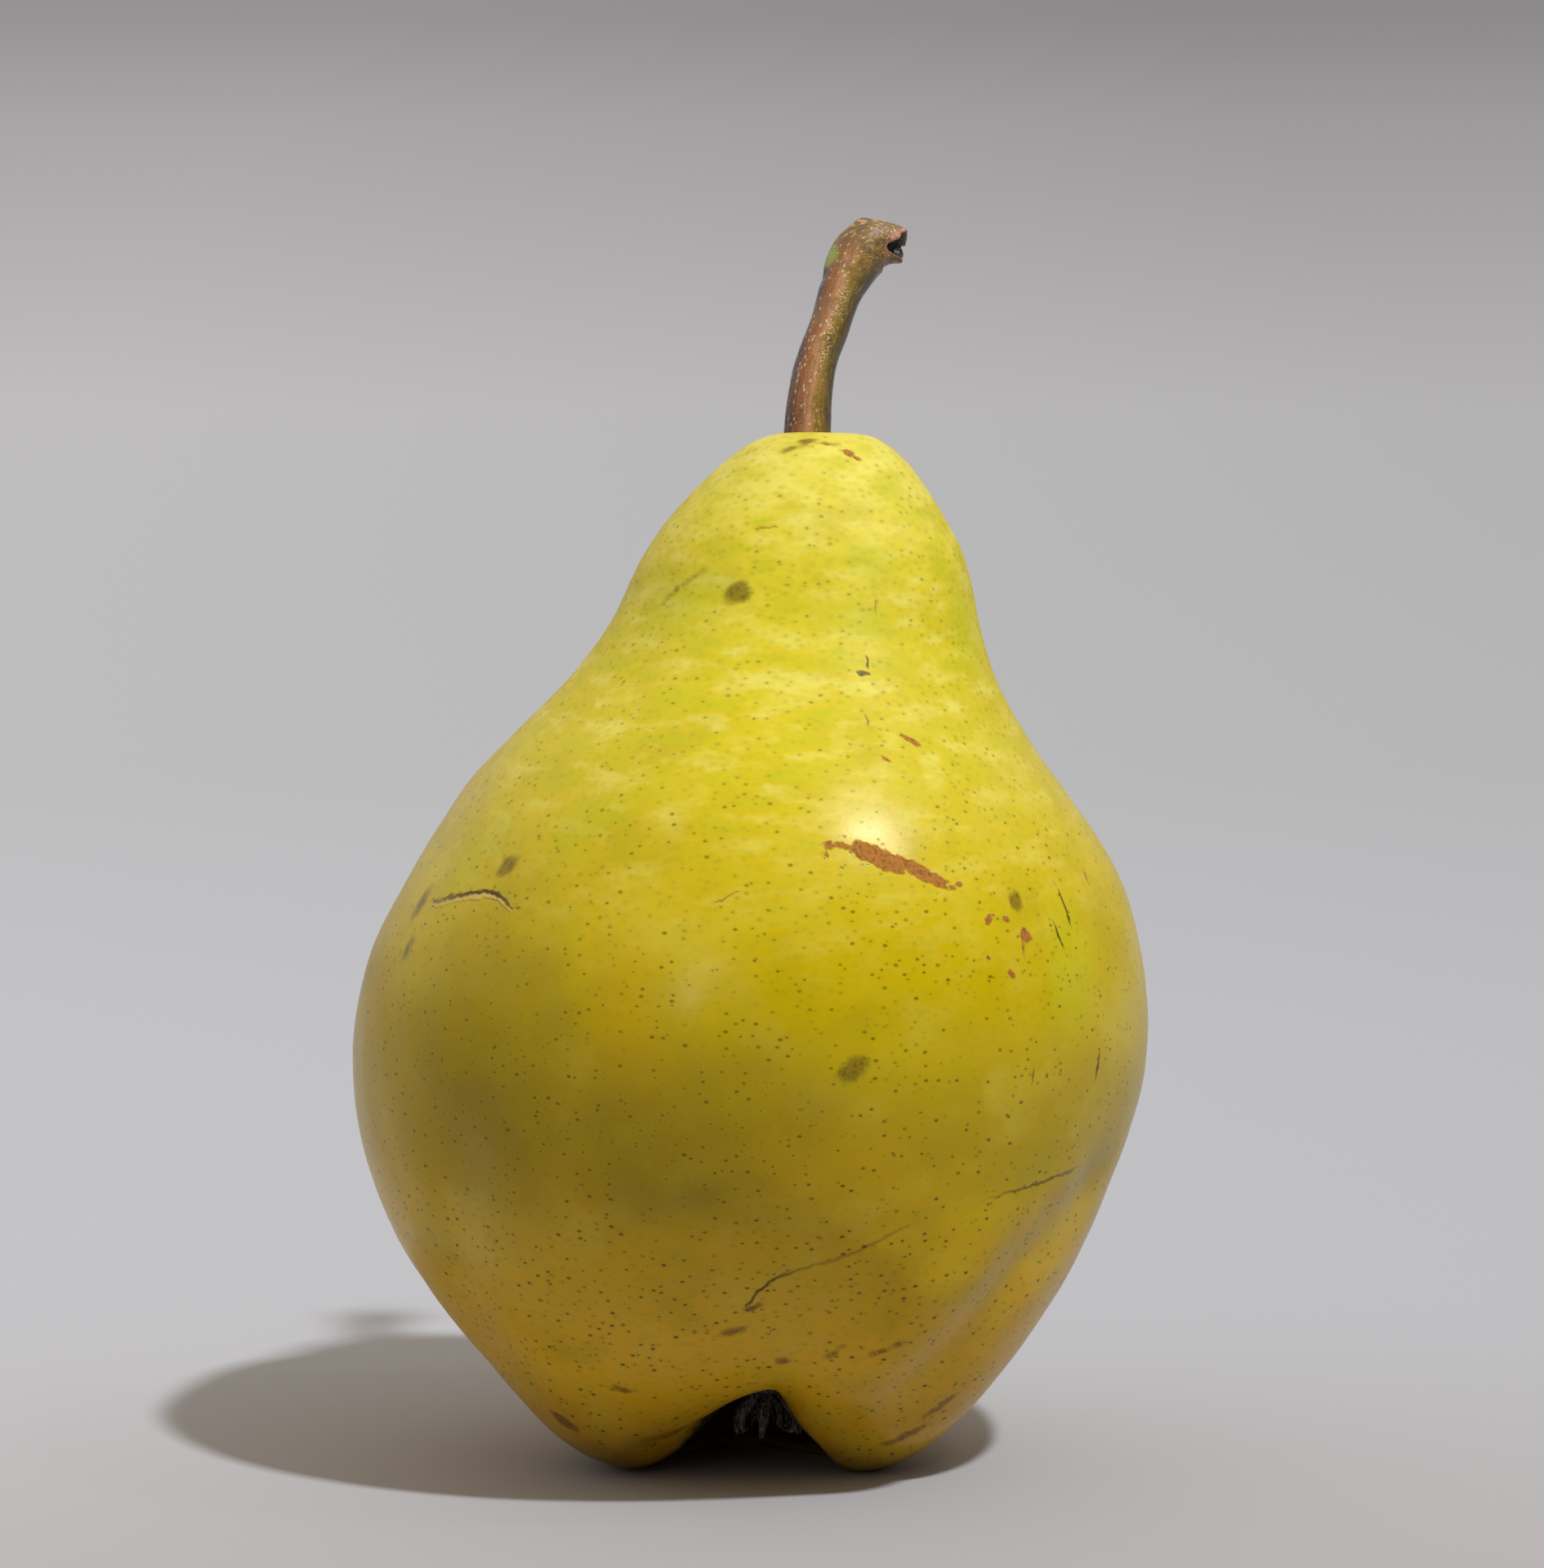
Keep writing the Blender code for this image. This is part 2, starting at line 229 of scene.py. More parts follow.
class Board:
    """The node tree of one material or of the world, and the one way in which this script adds to it."""

    def __init__(self, owner: bpy.types.Material | bpy.types.World) -> None:
        """Start with an empty tree on a material or a world."""
        owner.use_nodes = True
        self.tree = owner.node_tree
        self.tree.nodes.clear()

    def add(
        self,
        kind: str,
        inputs: dict[str | int, object] | tuple[object, ...] = (),
        out: str | int = 0,
        stops: Tones = (),
        **settings: object,
    ) -> Socket | None:
        """Add a node with its settings and links.

        Args:
            kind: The node's type, without its ShaderNode prefix.
            inputs: A socket to link or a constant for each input, by name or number, or in the node's order.
            out: The output to give back.
            stops: Positions and hex colours of a colour ramp.
            **settings: Properties of the node.

        Returns:
            The output socket, or nothing if the node has none.
        """
        node = self.tree.nodes.new("ShaderNode" + kind)
        for title, value in settings.items():
            setattr(node, title, value)
        for title, value in inputs.items() if isinstance(inputs, dict) else enumerate(inputs):
            if isinstance(value, Socket):
                self.tree.links.new(value, node.inputs[title])
            else:
                node.inputs[title].default_value = value
        for number, (position, code) in enumerate(stops):
            ramp = node.color_ramp.elements
            stop = ramp[number] if number < 2 else ramp.new(position)
            stop.position = position
            stop.color = linear(code)
        return node.outputs[out] if len(node.outputs) else None


@dataclass
class Skin:
    """A closed surface on a grid of rings between two poles, which becomes one mesh object.

    The surface gives points for fractions along from pole to pole and for angles around.
    """

    name: str
    surface: Surface
    rings: int
    segments: int
    crowd: float = 0.0
    crowd_degrees: float = -90.0
    points: np.ndarray = field(init=False)
    along: np.ndarray = field(init=False)
    around: np.ndarray = field(init=False)
    normals: np.ndarray = field(init=False)

    def __post_init__(self) -> None:
        """Work out the grid: equal steps down, and steps round that close up towards one direction.

        The angle is t - crowd * sin(t - side), so its step is least, 1 - crowd, at that side.
        """
        rows = np.arange(1, self.rings + 1) / (self.rings + 1)
        turn = np.arange(self.segments) / self.segments * 2 * math.pi
        turn = turn - self.crowd * np.sin(turn - math.radians(self.crowd_degrees))
        self.along = np.concatenate([[0.0], np.repeat(rows, self.segments), [1.0]])
        self.around = np.concatenate([[0.0], np.tile(turn, self.rings), [0.0]])
        self.points = self.surface(self.along, self.around)

    def on_front(self, across: float, up: float) -> tuple[Vector, Vector]:
        """Give the point and the outward direction at a place of the front, as seen from there."""
        apart = np.hypot(self.points[:, 0] - across, self.points[:, 2] - up)
        nearest = int(np.argmin(apart + np.where(self.normals[:, 1] > 0, FAR, 0.0)))
        return Vector(self.points[nearest]), Vector(self.normals[nearest].tolist()).normalized()

    def keep(self, piece: bpy.types.Object, title: str, values: np.ndarray) -> None:
        """Keep one number, or one row of three, for each vertex as a mesh attribute."""
        kind, key = ("FLOAT", "value") if values.ndim == 1 else ("FLOAT_VECTOR", "vector")
        piece.data.attributes.new(title, kind, "POINT").data.foreach_set(key, values.ravel())

    def faces(self) -> tuple[np.ndarray, np.ndarray]:
        """Give the quads between rings and the triangles round each pole, as vertex numbers."""
        ring = 1 + np.arange(self.rings * self.segments).reshape(self.rings, self.segments)
        beside = np.roll(ring, -1, axis=1)
        quads = np.stack([ring[:-1], ring[1:], beside[1:], beside[:-1]], axis=-1).reshape(-1, 4)
        last = self.rings * self.segments + 1
        top = np.stack([np.zeros(self.segments, int), ring[0], beside[0]], axis=-1)
        bottom = np.stack([np.full(self.segments, last), beside[-1], ring[-1]], axis=-1)
        return quads, np.concatenate([top, bottom])

    def is_inside_out(self, triangles: np.ndarray) -> bool:
        """Tell by the sign of the volume, a sixth of the sum of a . (b x c), whether the faces point in."""
        a, b, c = (self.points[triangles[:, corner]] for corner in range(3))
        return float((a * np.cross(b, c)).sum()) < 0

    def build(self) -> bpy.types.Object:
        """Make the mesh object, with its place in its mesh, and keep its vertex normals.

        Returns:
            The object, linked to the scene and shaded smooth.
        """
        quads, triangles = self.faces()
        if self.is_inside_out(np.concatenate([quads[:, [0, 1, 2]], quads[:, [0, 2, 3]], triangles])):
            quads, triangles = quads[:, ::-1], triangles[:, ::-1]
        corners = np.concatenate([quads.ravel(), triangles.ravel()])
        totals = np.concatenate([np.full(len(quads), 4), np.full(len(triangles), 3)])
        mesh = bpy.data.meshes.new(self.name)
        mesh.vertices.add(len(self.points))
        mesh.vertices.foreach_set("co", (self.points * MM).ravel())
        mesh.loops.add(len(corners))
        mesh.loops.foreach_set("vertex_index", corners)
        mesh.polygons.add(len(totals))
        mesh.polygons.foreach_set("loop_start", np.cumsum(totals) - totals)
        mesh.update(calc_edges=True)
        mesh.validate()
        mesh.shade_smooth()
        normals = np.empty(len(mesh.vertices) * 3, np.float32)
        mesh.vertex_normals.foreach_get("vector", normals)
        self.normals = normals.reshape(-1, 3)
        item = bpy.data.objects.new(self.name, mesh)
        bpy.context.scene.collection.objects.link(item)
        return item


def settle(piece: bpy.types.Object, node: str) -> None:
    """Let a piece ride on the pear's only body and stand for a CAD node, whose solid it hides."""
    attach(piece, BODY)
    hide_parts(node)
    log.info("%s: %d faces, for %s", piece.name, len(piece.data.polygons), node)


class MarkKind(Enum):
    """What has marked the skin, and where shade is painted on it."""

    GREEN = "patch that ripened late"
    GOLD = "patch that ripened first"
    # Painted shade: a darker olive patch laid over the lower left and the middle of the belly.
    PAINTED_SHADE = "patch of deeper olive"
    BRUISE = "soft brown bruise"
    RUB = "grey rub mark"
    SCUFF = "streaky brown scuff"
    RUSSET = "dry corky russet"
    CUT = "dark dried cut"
    SCRATCH = "thin corky scratch"


class Edge(Enum):
    """How a kind of mark ends, and with it how the mark reaches the material."""

    SOFT = "its cover, 0 to 1, is kept on the mesh, and it lies under the dots"
    RAGGED = "the distance outside its edge is kept on the mesh and frayed by fine noise"
    FINE = "too thin for the mesh, so its oval is worked out in the material"


@dataclass(frozen=True)
class MarkLook:
    """How one kind of mark looks: its colour, its share of the skin's, its edge and its grit's colour.

    The rise and the blur, over which a ragged edge fades, are in millimetres.
    """

    colour: str
    cover: float
    edge: Edge
    grit: str = ""
    rise: float = 0.0
    blur: float = 0.1

    @property
    def noise_share(self) -> float:
        """Give how much of the noise shakes the kept cover or distance."""
        return 1.2 if self.edge is Edge.SOFT else 1.1

    @property
    def span(self) -> tuple[float, float]:
        """Give the two values of what is kept, or of the oval, between which the mark fades in."""
        spans = {Edge.SOFT: (0.05, 1.1), Edge.RAGGED: (self.blur, -self.blur), Edge.FINE: (1.1, 0.6)}
        return spans[self.edge]


MARK_LOOKS = {
    MarkKind.GREEN: MarkLook("#AEAE04", 0.4, Edge.SOFT),
    MarkKind.GOLD: MarkLook("#C09400", 0.45, Edge.SOFT),
    MarkKind.PAINTED_SHADE: MarkLook("#8A7200", 0.6, Edge.SOFT),
    MarkKind.BRUISE: MarkLook("#7C660C", 0.85, Edge.RAGGED, "#5A4408", 0.0, 0.4),
    MarkKind.RUB: MarkLook("#4A4030", 0.7, Edge.RAGGED, "#6E6248", -0.01, 0.5),
    MarkKind.SCUFF: MarkLook("#7A4E10", 0.8, Edge.RAGGED, "#46280A", -0.02, 0.3),
    MarkKind.RUSSET: MarkLook("#A06024", 0.92, Edge.RAGGED, "#7C421A", 0.04, 0.1),
    MarkKind.CUT: MarkLook("#3A300A", 0.9, Edge.FINE, "#6A5418"),
    MarkKind.SCRATCH: MarkLook("#A07028", 0.7, Edge.FINE, "#805020"),
}

# Each mark is (across, up, length, width, tilt in degrees), as seen from the front.
MARKS: dict[MarkKind, Stations] = {
    MarkKind.GREEN: (
        (-6.8, 85.5, 16.0, 9.0, 10.0), (11.2, 90.3, 8.0, 5.0, 0.0), (10.4, 84.5, 12.0, 6.0, 0.0),
        (-15.3, 66.8, 14.0, 8.0, 30.0), (20.8, 83.3, 8.0, 14.0, 0.0), (-27.0, 61.0, 16.0, 9.0, 40.0),
        (31.0, 52.0, 10.0, 22.0, 0.0),
    ),
    MarkKind.GOLD: ((-11.0, 48.0, 12.0, 26.0, 20.0), (4.0, 36.0, 40.0, 12.0, -5.0)),
    # Painted shade: darker olive patches over the lower left and the middle of the belly.
    MarkKind.PAINTED_SHADE: ((-25.0, 46.0, 30.0, 44.0, 0.0), (-6.0, 39.0, 40.0, 24.0, 10.0)),
    MarkKind.BRUISE: (
        (4.2, 99.9, 2.6, 0.8, 15.0), (-1.2, 87.0, 3.0, 2.2, 15.0), (-6.4, 87.2, 3.8, 0.4, 20.0),
        (9.7, 44.7, 3.0, 1.9, 30.0), (25.5, 58.7, 1.8, 2.0, 0.0), (-23.2, 62.0, 2.6, 2.0, 0.0),
    ),
    MarkKind.RUB: ((-31.7, 56.9, 3.4, 1.6, 60.0), (-33.0, 52.8, 2.4, 1.2, 60.0)),
    MarkKind.SCUFF: (
        (5.7, 100.6, 1.6, 1.0, 20.0), (7.6, 100.4, 2.2, 0.5, -10.0), (3.4, 14.0, 1.5, 1.0, 10.0),
        (8.2, 15.0, 2.0, 0.5, 45.0), (14.4, 16.0, 1.6, 1.0, 20.0), (12.6, 15.2, 2.6, 0.5, 30.0),
        (-1.5, 17.6, 2.6, 0.9, 25.0), (0.4, 20.4, 1.8, 0.8, 40.0), (-17.9, 6.3, 3.0, 1.8, -20.0),
        (-12.3, 10.9, 2.2, 0.7, -10.0), (15.3, 4.8, 4.5, 1.0, 35.0), (18.5, 8.0, 4.0, 0.9, 40.0),
        (-7.0, 5.0, 4.5, 0.7, 25.0),
    ),
    MarkKind.RUSSET: (
        (12.2, 63.9, 5.6, 2.3, -21.0), (16.4, 62.2, 6.6, 1.6, -17.0), (8.9, 65.0, 3.4, 0.6, -4.0),
        (7.3, 64.5, 0.9, 0.6, 40.0), (20.2, 61.1, 0.9, 0.5, 0.0), (22.9, 57.5, 2.0, 0.6, 35.0),
        (24.7, 57.2, 1.0, 0.6, -20.0), (26.4, 55.8, 1.5, 1.3, 0.0), (26.1, 54.3, 2.4, 0.5, 82.0),
        (25.1, 52.7, 1.1, 1.0, 0.0), (22.7, 54.2, 0.7, 0.6, 60.0), (9.6, 99.5, 1.2, 1.0, 0.0),
        (10.6, 99.0, 0.7, 0.4, 40.0), (1.3, 99.3, 0.9, 0.4, 0.0), (15.4, 73.8, 2.2, 0.8, -30.0),
        (13.2, 72.3, 1.2, 0.5, -40.0),
    ),
    MarkKind.CUT: (
        (11.0, 79.7, 1.7, 0.7, 0.0), (11.4, 80.5, 1.8, 0.35, 80.0), (30.5, 57.6, 4.4, 0.45, 92.0),
        (29.8, 55.1, 3.0, 0.4, 106.0), (33.4, 42.0, 3.2, 0.4, 75.0), (27.3, 42.4, 1.8, 0.25, 75.0),
    ),
    MarkKind.SCRATCH: (
        (1.5, 92.8, 2.6, 0.35, -8.0), (11.4, 75.5, 2.2, 0.35, 80.0), (32.5, 59.5, 2.6, 0.45, 75.0),
        (12.2, 85.5, 2.4, 0.2, 85.0), (-2.2, 60.9, 3.4, 0.25, 24.0),
    ),
}


@dataclass(frozen=True)
class Mark:
    """One oval mark on the fruit's front, by its middle as seen from there, its real size and its tilt."""

    across: float
    up: float
    length: float
    width: float
    tilt: float

    def frame(self, grid: Skin) -> tuple[Vector, Matrix, tuple[float, float, float]]:
        """Give the oval's middle, its axes and its half sizes.

        The long axis lies in the skin at the mark's tilt and the third axis goes straight into the skin.
        """
        least_depth = 3.0
        point, outward = grid.on_front(self.across, self.up)
        tilt = math.radians(self.tilt)
        run = Vector((math.cos(tilt), 0.0, math.sin(tilt)))
        run = (run - outward * run.dot(outward)).normalized()
        axes = Matrix((run, outward.cross(run), outward)).transposed()
        return point, axes, (self.length / 2, self.width / 2, max(self.length / 2, least_depth))

    def shares(self, grid: Skin) -> np.ndarray:
        """Give each vertex's distance from the middle as a share of the oval's size.

        It is the length of (offset along each axis / half the size along it).
        """
        point, axes, size = self.frame(grid)
        return np.linalg.norm((grid.points - np.array(point)) @ np.array(axes) / np.array(size), axis=1)

    def share_socket(self, board: Board, place: Socket, grid: Skin) -> Socket:
        """Add nodes that give the same share anywhere on the skin."""
        point, axes, size = self.frame(grid)
        oval = board.add("Mapping", (place, point, axes.to_euler(), size), vector_type="TEXTURE")
        return board.add("VectorMath", (oval,), "Value", operation="LENGTH")


@dataclass(frozen=True)
class Crease:
    """A long fine line in the skin's front, by stations of (across, up, cover) as seen from the front."""

    title: str
    stations: Stations
    half_width: float
    lip: float = 0.0

    def keep_on_mesh(self, piece: bpy.types.Object, grid: Skin) -> None:
        """Keep each vertex's signed distance from the line, positive above it, and the line's cover there.

        The distance is (height over the line) * cosine of the line's slope, with ten times the overshoot
        past either end added at a right angle, and a large number of the same sign at the back.
        """
        nudge, at_back = 0.1, 50.0
        stations = np.asarray(self.stations)
        across, up = grid.points[:, 0], grid.points[:, 2]
        held = np.clip(across, stations[0, 0], stations[-1, 0])
        line, cover = natural_spline(stations[:, 0], stations[:, 1:], held).T
        ahead = natural_spline(stations[:, 0], stations[:, 1:], held + nudge)[:, 0]
        over = (up - line) * np.cos(np.arctan((ahead - line) / nudge))
        apart = np.hypot(over, np.where(grid.normals[:, 1] < 0, 10 * (across - held), at_back))
        grid.keep(piece, self.title, np.where(over < 0, -apart, apart))
        grid.keep(piece, self.title + "_cover", np.clip(cover, 0.0, 1.0))


@dataclass(frozen=True)
class PearSkin:
    """Waxy skin of a ripe pear: thin, faintly see-through, with a dull bloom of wax and corky dots.

    To the eye it is golden yellow flesh colour under a satin film, blotched, and dotted all over. Its colour
    by height also holds painted shade and painted light, and its pale blotches are partly painted sheen. The
    mottles and bands are (noise where they start, noise where they are full, cover, colour).
    """

    title: str = "waxy_pear_skin"
    height: float = 101.0
    # The tones by height are partly the skin's ripening colour and partly painted light: painted shade
    # darkens a band low on the belly, about a third of the way up, and painted light brightens the skin just
    # above the foot.
    tones: Tones = (
        (0.0, "#8C6408"), (0.05, "#C8960C"), (0.14, "#DCAA0C"), (0.25, "#CAA200"), (0.36, "#B09200"),
        (0.48, "#BCA000"), (0.6, "#C4A804"), (0.72, "#C4AE0C"), (0.88, "#CEBA24"), (0.98, "#D0BE40"),
    )
    drift_width: float = 9.0
    drift_reach: float = 7.0
    fray_width: float = 1.1
    fray_reach: float = 0.9
    # The pale mottle is partly the skin's own blotching and partly painted sheen; the deep one is the skin's
    # own.
    mottles: Blotches = ((0.5, 0.72, 0.35, "#D0BC40"), (0.48, 0.3, 0.4, "#A69204"))
    bands: Blotches = ((0.5, 0.7, 0.5, "#DCD068"), (0.48, 0.32, 0.6, "#B2AE0C"))
    band_length: float = 5.0
    dot_tones: Tones = ((0.0, "#6E4208"), (0.35, "#745200"), (0.6, "#887000"), (1.0, "#9C8E20"))
    dot_spacing: float = 0.85
    dot_radius: float = 0.25
    dot_depth: float = 0.012
    halo_colour: str = "#9E9A08"
    grain_width: float = 0.35
    grain_height: float = 0.008
    # Painted shade: past this fraction down the outline, the basin under the fruit is painted nearly black.
    basin_start: float = 0.905
    basin_fade: float = 0.03
    basin_shade_colour: str = "#1E1408"
    # The creases' dark is partly dried skin and partly painted shade in the slit; the pale lip colour is a
    # painted highlight.
    crease_colour: str = "#3E2C0A"
    crease_depth: float = 0.1
    lip_highlight_colour: str = "#CCA850"
    lip_height: float = 0.08
    creases: tuple[Crease, ...] = (
        Crease("crease", (
            (-0.4, 20.4, 0.8), (1.3, 22.5, 0.9), (4.6, 24.4, 0.5), (11.1, 26.7, 0.4), (15.0, 28.6, 0.15),
            (22.0, 30.4, 0.05), (27.5, 31.3, 0.7), (31.4, 31.8, 0.5),
        ), 0.26),
        Crease("crack", (
            (-30.6, 57.3, 0.5), (-28.6, 58.3, 0.8), (-26.2, 59.0, 1.0), (-24.2, 59.3, 1.0),
            (-22.6, 58.3, 0.6),
        ), 0.3, 0.9),
    )

    def marks(self, kind: MarkKind) -> list[Mark]:
        """Give the marks of one kind."""
        return [Mark(*row) for row in MARKS[kind]]

    def keep_on_mesh(self, piece: bpy.types.Object, grid: Skin) -> None:
        """Keep the creases' distances and the wide marks' covers or distances as mesh attributes.

        A soft mark's cover is 1 up to a tenth of its size and falls smoothly to 0 at 1.3 of it. A ragged
        mark's distance outside its edge is (share - 1) * half its width.
        """
        # The basin's cover marks where the painted shade goes.
        grid.keep(piece, "basin", smooth_ramp((grid.along - self.basin_start) / self.basin_fade))
        for crease in self.creases:
            crease.keep_on_mesh(piece, grid)
        for kind, look in MARK_LOOKS.items():
            if look.edge is Edge.SOFT:
                covers = [smooth_ramp((1.3 - mark.shares(grid)) / 1.2) for mark in self.marks(kind)]
                grid.keep(piece, kind.name, np.max(covers, axis=0))
            if look.edge is Edge.RAGGED:
                distances = [(mark.shares(grid) - 1) * mark.width / 2 for mark in self.marks(kind)]
                grid.keep(piece, kind.name, np.min(distances, axis=0))

    def mark_mask(self, board: Board, kind: MarkKind, crisp: Socket, noise: Socket, grid: Skin) -> Socket:
        """Add the mask of one kind of mark.

        Args:
            board: The node tree.
            kind: The kind of mark.
            crisp: Place on the skin, shaken by fine noise.
            noise: Noise around 0 that shakes what is kept on the mesh.
            grid: The fruit's grid.

        Returns:
            The mask's socket.
        """
        look = MARK_LOOKS[kind]
        value = None
        if look.edge is Edge.FINE:
            for mark in self.marks(kind):
                share = mark.share_socket(board, crisp, grid)
                value = share if value is None else board.add("Math", (share, value), operation="MINIMUM")
        else:
            value = board.add("Attribute", out="Fac", attribute_name=kind.name)
            value = board.add("Math", (noise, look.noise_share, value), operation="MULTIPLY_ADD")
        return board.add("MapRange", (value, *look.span, 0.0, look.cover), interpolation_type="SMOOTHSTEP")

    def blotch(self, board: Board, soft: Socket, crisp: Socket, share: Socket) -> Socket:
        """Add the colours by height, ripening colour with painted shade and painted light in it, mottled all
        over with the pale blotches partly as painted sheen, and banded on the neck.

        Args:
            board: The node tree.
            soft: Place on the skin, shaken by wide noise.
            crisp: Place on the skin, shaken by fine noise.
            share: Height as a share of the fruit's.

        Returns:
            The colour's socket.
        """
        tint = board.add("ValToRGB", (share,), stops=self.tones)
        tint.node.color_ramp.interpolation = "EASE"
        mottle = board.add("TexNoise", {"Vector": soft, "Scale": 1 / self.drift_width, "Detail": 2.0})
        level = board.add("Mapping", {"Vector": crisp, "Scale": (1.0, 1.0, 3.0)})
        band = board.add("TexNoise", {"Vector": level, "Scale": 1 / self.band_length, "Detail": 3.0})
        on_neck = board.add("MapRange", (share, 0.52, 0.75, 0.06, 1.0))
        for noise, where, blotches in ((mottle, 1.0, self.mottles), (band, on_neck, self.bands)):
            for start, full, cover, colour in blotches:
                mask = board.add("MapRange", (noise, start, full, 0.0, cover))
                mask = board.add("Math", (mask, where), operation="MULTIPLY")
                tint = board.add("Mix", {0: mask, 6: tint, 7: linear(colour)}, 2, data_type="RGBA")
        return tint

    def dot(self, board: Board, place: Socket, share: Socket, tint: Socket) -> tuple[Socket, Socket]:
        """Add the dots: brown and many low down, olive and few on the neck, each in a faint green halo.

        Args:
            board: The node tree.
            place: Place on the skin in millimetres.
            share: Height as a share of the fruit's.
            tint: The colour so far.

        Returns:
            The colour's and the dots' sockets.
        """
        flat = board.add("Mapping", {"Vector": place, "Scale": (0.85, 0.85, 1.25)})
        near = board.add("TexVoronoi", {"Vector": flat, "Scale": 1 / self.dot_spacing}, "Distance")
        chance = board.add("SeparateColor", (near.node.outputs["Color"],))
        reach = self.dot_radius / self.dot_spacing
        outer = board.add("MapRange", (chance, 0.0, 1.0, reach * 0.5, reach * 1.2))
        inner = board.add("Math", (outer, 0.4), operation="MULTIPLY")
        dot = board.add("MapRange", (near, inner, outer, 1.0, 0.0), interpolation_type="SMOOTHSTEP")
        crowd = board.add("MapRange", (share, 0.2, 0.8, 1.8, 0.9))
        often = chance.node.outputs["Green"]
        strength = board.add("Math", (often, crowd), operation="MULTIPLY", use_clamp=True)
        dot = board.add("Math", (dot, strength), operation="MULTIPLY")
        span = (near, reach * 0.8, reach * 2.2, 0.2, 0.0)
        halo = board.add("MapRange", span, interpolation_type="SMOOTHSTEP")
        spot = board.add("ValToRGB", (share,), stops=self.dot_tones)
        for mask, colour in ((halo, linear(self.halo_colour)), (dot, spot)):
            tint = board.add("Mix", {0: mask, 6: tint, 7: colour}, 2, data_type="RGBA")
        return tint, dot

    def crease(self, board: Board, fray: Socket, tint: Socket, relief: Socket) -> tuple[Socket, Socket]:
        """Add the creases: dark sunken lines, partly dried skin and partly painted shade in the slit, one
        with a raised lip along its lower side that is painted pale as a highlight.

        Args:
            board: The node tree.
            fray: Fine noise around 0.
            tint: The colour so far.
            relief: The height so far, in millimetres.

        Returns:
            The colour's and the height's sockets.
        """
        for crease in self.creases:
            line, cover = (
                board.add("Attribute", out="Fac", attribute_name=title)
                for title in (crease.title, crease.title + "_cover")
            )
            line = board.add("Math", (fray, 0.9, line), operation="MULTIPLY_ADD")
            # Each line is darkened as painted shade and the lip is paled as a painted highlight.
            layers = [(0.0, 0.03, crease.half_width, 1.0, self.crease_colour, -self.crease_depth)]
            if crease.lip:
                lip = (crease.half_width, 0.05, 0.3, crease.lip, self.lip_highlight_colour, self.lip_height)
                layers.insert(0, lip)
            for below, start, end, share, colour, rise in layers:
                apart = board.add("Math", (line, below), operation="ADD")
                apart = board.add("Math", (apart,), operation="ABSOLUTE")
                most = board.add("Math", (cover, share), operation="MULTIPLY")
                mask = board.add("MapRange", (apart, start, end, most, 0.0), interpolation_type="SMOOTHSTEP")
                tint = board.add("Mix", {0: mask, 6: tint, 7: linear(colour)}, 2, data_type="RGBA")
                relief = board.add("Math", (mask, rise, relief), operation="MULTIPLY_ADD")
        return tint, relief

    def dress(self, piece: bpy.types.Object, grid: Skin) -> None:
        """Make the material and put it on the fruit.

        The colours lie over each other from the tones by height, which hold painted shade and painted light
        as well as the ripening colour, up to the creases, and the relief in millimetres is the sum of each
        layer's mask * its rise.

        Args:
            piece: The fruit's object.
            grid: The fruit's grid.
        """
        self.keep_on_mesh(piece, grid)
        material = bpy.data.materials.new(self.title)
        board = Board(material)
        whole = board.add("TexCoord", out="Object")
        place = board.add("Mapping", {"Vector": whole, "Scale": (1 / MM,) * 3})
        shaken = []
        for width, detail, reach in (
            (self.drift_width, 3.0, self.drift_reach), (self.fray_width, 4.0, self.fray_reach),
        ):
            noise = board.add("TexNoise", {"Vector": place, "Scale": 1 / width, "Detail": detail}, "Color")
            noise = board.add("VectorMath", (noise, (0.5,) * 3), operation="SUBTRACT")
            moved = board.add("VectorMath", (noise, (reach,) * 3, place), operation="MULTIPLY_ADD")
            shaken.append((board.add("SeparateXYZ", (noise,)), moved))
        (drift, soft), (fray, crisp) = shaken
        masks = {
            kind: self.mark_mask(board, kind, crisp, drift if look.edge is Edge.SOFT else fray, grid)
            for kind, look in MARK_LOOKS.items()
        }
        height = board.add("SeparateXYZ", (soft,), "Z")
        share = board.add("Math", (height, 1 / self.height), operation="MULTIPLY")
        tint = self.blotch(board, soft, crisp, share)
        # The soft marks, the painted shade patches among them, lie over the tones.
        for kind, look in MARK_LOOKS.items():
            if look.edge is Edge.SOFT:
                sockets = {0: masks[kind], 6: tint, 7: linear(look.colour)}
                tint = board.add("Mix", sockets, 2, data_type="RGBA")
        tint, dot = self.dot(board, place, share, tint)

        grain = board.add("TexNoise", {"Vector": place, "Scale": 1 / self.grain_width, "Detail": 2.0})
        grit = board.add("MapRange", (grain, 0.5, 0.62))
        relief = board.add("Math", (grain, self.grain_height), operation="MULTIPLY")
        relief = board.add("Math", (dot, -self.dot_depth, relief), operation="MULTIPLY_ADD")
        for kind, look in MARK_LOOKS.items():
            if look.edge is not Edge.SOFT:
                gritty = {0: grit, 6: linear(look.colour), 7: linear(look.grit)}
                gritty = board.add("Mix", gritty, 2, data_type="RGBA")
                tint = board.add("Mix", {0: masks[kind], 6: tint, 7: gritty}, 2, data_type="RGBA")
                if look.rise:
                    relief = board.add("Math", (masks[kind], look.rise, relief), operation="MULTIPLY_ADD")
